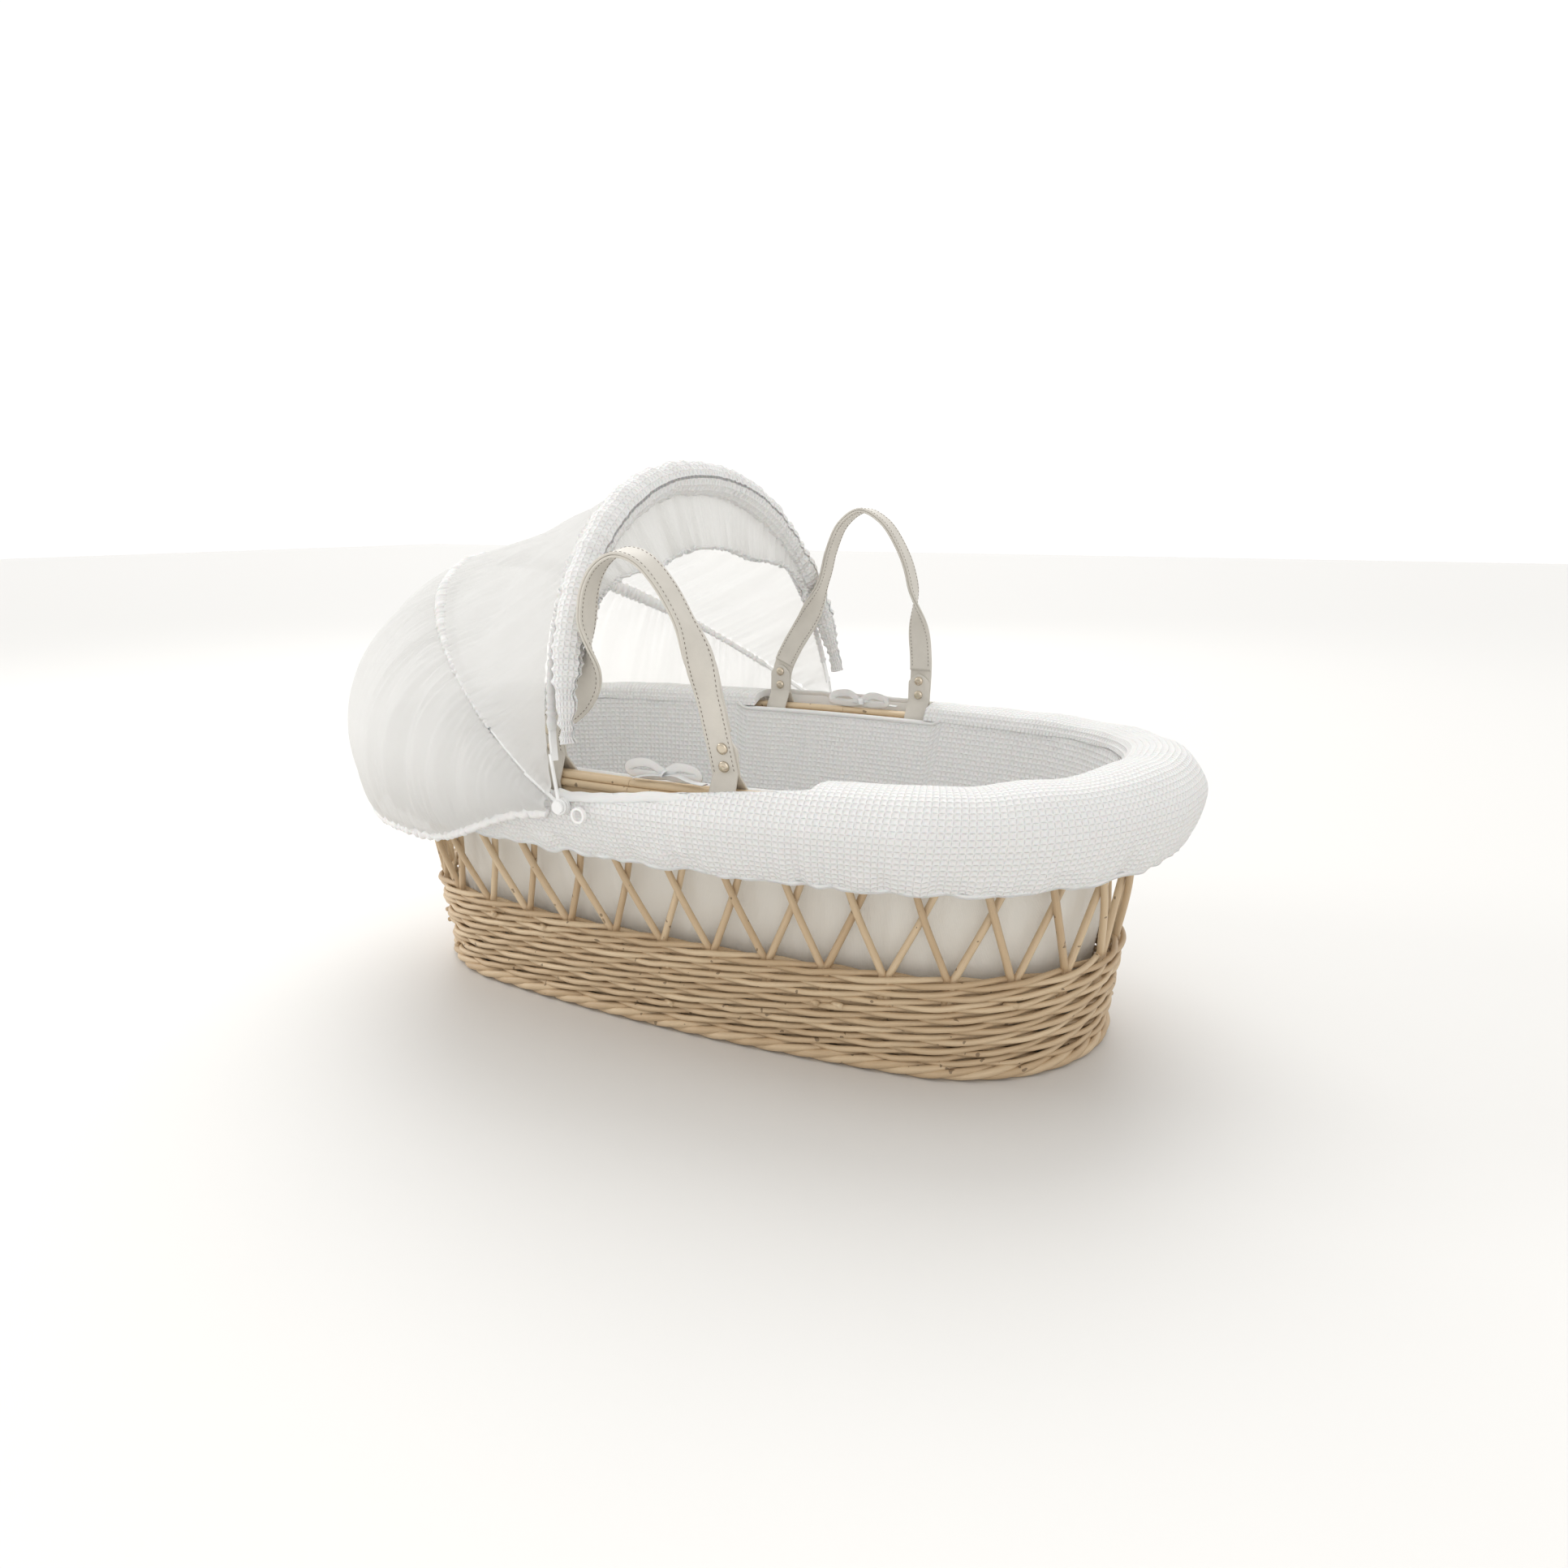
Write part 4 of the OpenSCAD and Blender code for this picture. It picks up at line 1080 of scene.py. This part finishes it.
def canopy_rear():
    """The thin cloth over the head end, from the middle hoop down to the hem."""
    across = np.linspace(0, 1, COLS)
    mid = hoop_points(even_turns(MID_ARCH, HOOP_START, COLS), MID_ARCH, ahead=-0.002, grow=0.0052)
    base, out, share = spread_between(mid, hem_curve(COLS), int(90 * FINE))
    high = np.sin(math.pi * across)[None]
    bulge = (0.006 + 0.052 * high**0.9) * np.sin(math.pi * share) ** 0.85
    fade = np.sin(math.pi * np.clip(across, 0, 1))[None] ** 0.4
    folds = ripple(across[None] + 0.02 * np.sin(3 * share), 9, 30, 91) * 0.0048
    folds = folds * np.sin(math.pi * share) * fade
    gather = ripple(across[None], 55, 125, 92) * 0.0026 * (1 - share) ** 3
    gather_low = ripple(across[None], 45, 110, 93) * 0.0030 * share**4
    points = base + out * (bulge + folds + gather + gather_low)[..., None]
    obj = grid_object("hood_rear_cloth", points)
    place(obj, VOILE, None, ("hood_canopy_rear",))
    blend_by(obj, MIDDLE, BASKET, np.broadcast_to(share, points.shape[:2]))


canopy_front()
canopy_rear()


def channel(name, arch, body, nodes, width, thick, start, seed):
    """A gathered cloth channel with the hoop inside it, thinner towards both ends."""
    count = int(900 * FINE)
    turns = even_turns(arch, start, count)
    line = hoop_points(turns, arch)
    out = hoop_points(turns, arch, grow=0.01) - line
    share = np.linspace(0, 1, count)
    body_share = smooth((np.minimum(share, 1 - share) - 0.06) / 0.22)
    width = width * (0.72 + 0.28 * body_share)[:, None, None]
    thick = thick * (0.34 + 0.66 * body_share)[:, None, None]
    pucker = np.clip(1 + 0.20 * ripple(share, 70, 170, seed), 0.75, 1.22)
    angle = np.arange(14) * TAU / 14
    radial = unit(out)[:, None] * np.cos(angle)[None, :, None] * width / 2
    forward = plane_normal(arch)[None, None] * np.sin(angle)[None, :, None] * thick / 2
    points = line[:, None] + (radial + forward) * pucker[:, None, None]
    place(grid_object(name, points, close_cols=True), COTTON, body, nodes)


channel("hood_mid_channel_cloth", MID_ARCH, MIDDLE, ("hood_mid_channel",), 0.0175, 0.0150, 19, 101)
channel("hood_front_strip", FRONT_ARCH, FRONT, ("hood_front_channel",), 0.0160, 0.0130, 12, 102)


def hood_roll():
    """The padded roll in front of the front hoop, thinner at both ends and thickest over the top."""
    count = int(760 * FINE)
    turns = even_turns(FRONT_ARCH, 9.5, count)
    share = np.linspace(0, 1, count)
    taper = smooth(np.minimum(share, 1 - share) / 0.12)
    line = hoop_points(turns, FRONT_ARCH, ahead=0.0160)
    out = unit(hoop_points(turns, FRONT_ARCH, ahead=0.0160, grow=0.01) - line)
    sides = 40
    angle = np.arange(sides) * TAU / sides
    bunch = ripple(share[:, None] + 0.012 * np.sin(angle)[None], 8, 30, 111)
    crease = -np.abs(ripple(share[:, None] + 0.006 * np.sin(angle + 1)[None], 16, 44, 112))
    high = smooth((np.minimum(share, 1 - share) - 0.22) / 0.12)
    plump = 0.0056 + 0.0078 * taper + 0.0024 * high
    radius = plump[:, None] + 0.0012 * bunch + 0.0024 * crease + 0.0016
    forward = plane_normal(FRONT_ARCH)[None, None] * np.cos(angle)[None, :, None]
    outward = out[:, None] * np.sin(angle)[None, :, None]
    points = line[:, None] + radius[..., None] * (forward + outward)
    faces = triangles(grid_faces(count, sides, close_cols=True))
    faces = np.vstack([faces, triangles(end_fans(count, sides))])
    vertices = np.vstack([points.reshape(-1, 3), line[0], line[-1]])
    uv = np.vstack([grid_uv(points)[:, ::-1], np.zeros((2, 2))])
    obj = make_mesh("hood_roll_cover", vertices, faces, uv)
    place(obj, WAFFLE, FRONT, ("hood_roll",))


hood_roll()


def hood_frill():
    """The gathered facing inside the roll, drawn in by an elastic along its free edge."""
    count = int(900 * FINE)
    turns = even_turns(FRONT_ARCH, 33.0, count)
    share = np.linspace(0, 1, count)
    rows = int(26 * FINE) + 4
    f = np.linspace(0, 1, rows)[:, None]
    width = 0.012 + 0.050 * smooth(np.minimum(share, 1 - share) / 0.32)
    start = hoop_points(turns, FRONT_ARCH, ahead=0.0150, grow=-0.008)
    inward = unit(hoop_points(turns, FRONT_ARCH, ahead=0.0150, grow=-0.02) - start)
    wave = ripple(share[None] + 0.003 * f, 30, 85, 121)
    depth = 0.0035 * f + wave * (0.0012 + 0.0030 * f**1.5)
    edge = 0.0016 * ripple(share, 60, 140, 122)[None] * f**4
    points = start[None] + inward[None] * (width[None] * f + edge)[..., None]
    points = points + plane_normal(FRONT_ARCH)[None, None] * depth[..., None]
    obj = grid_object("hood_frill", points)
    place(obj, VOILE, FRONT, ("hood_facing",))
    tube = tube_parts(points[-1], 0.0016, 8)
    place(tubes_object("hood_frill_edge", [tube], 15), COTTON, FRONT)


hood_frill()


def hood_hem():
    """The thick gathered hem along the hood's lower edge."""
    count = int(900 * FINE)
    share = np.linspace(0, 1, count)
    line = hem_curve(count, 0.0006)
    line[:, 2] += 0.0014 * ripple(share, 40, 100, 131)
    thick = 0.0030 * (1 + 0.15 * ripple(share, 80, 170, 132))
    obj = tubes_object("hood_hem_gathers", [tube_parts(line, thick, 10, flat=1.5)], 16)
    place(obj, COTTON, BASKET, ("hood_hem",))


hood_hem()

# ---------- stage


def lay_floor():
    """A large pale floor under the basket."""
    bpy.ops.mesh.primitive_plane_add(size=24, location=(0, 0, 0))
    floor = bpy.context.object
    floor.name = "floor"
    floor.data.materials.append(FLOOR)


lay_floor()


def add_light(name, kind, power, direction, **settings):
    """A light of one kind that shines along a direction."""
    light = bpy.data.lights.new(name, kind)
    light.energy = power
    for key, value in settings.items():
        setattr(light, key, value)
    obj = linked(name, light)
    obj.rotation_euler = Vector(direction).to_track_quat("-Z", "Y").to_euler()
    return obj


def area_light(name, location, target, size, power, color=(1, 1, 1)):
    """A square light at a location, pointed at a target."""
    direction = Vector(target) - Vector(location)
    add_light(name, "AREA", power, direction, size=size, color=color).location = location


def studio_world():
    """A bright window wall behind the basket, a softer room in front of it."""
    world = bpy.data.worlds.new("studio")
    bpy.context.scene.world = world
    world.use_nodes = True
    tree = world.node_tree
    direction = tree.nodes.new("ShaderNodeTexCoord").outputs["Generated"]
    towards = tree.nodes.new("ShaderNodeVectorMath")
    towards.operation = "DOT_PRODUCT"
    tree.links.new(direction, towards.inputs[0])
    towards.inputs[1].default_value = (-0.42, 0.88, 0.22)
    level = tree.nodes.new("ShaderNodeMapRange")
    level.interpolation_type = "SMOOTHSTEP"
    tree.links.new(towards.outputs["Value"], level.inputs["Value"])
    for key, value in (("From Min", -0.5), ("From Max", 0.75), ("To Min", 0.80), ("To Max", 1.05)):
        level.inputs[key].default_value = value
    background = tree.nodes["Background"]
    background.inputs["Color"].default_value = (1.0, 0.995, 0.985, 1)
    tree.links.new(level.outputs["Result"], background.inputs["Strength"])


studio_world()
area_light("window_behind", (-1.5, 2.6, 2.0), (0, 0, 0.2), 2.0, 14, (1.0, 0.985, 0.96))
add_light("soft_sun", "SUN", 0.9, (0.45, -0.75, -1.1), angle=math.radians(50))
area_light("window_left", (-2.6, -0.9, 1.5), (0, 0, 0.2), 1.0, 24)
area_light("fill_front", (1.4, -2.6, 1.0), (0, 0, 0.15), 2.0, 10)
bpy.context.scene.view_settings.view_transform = "Standard"
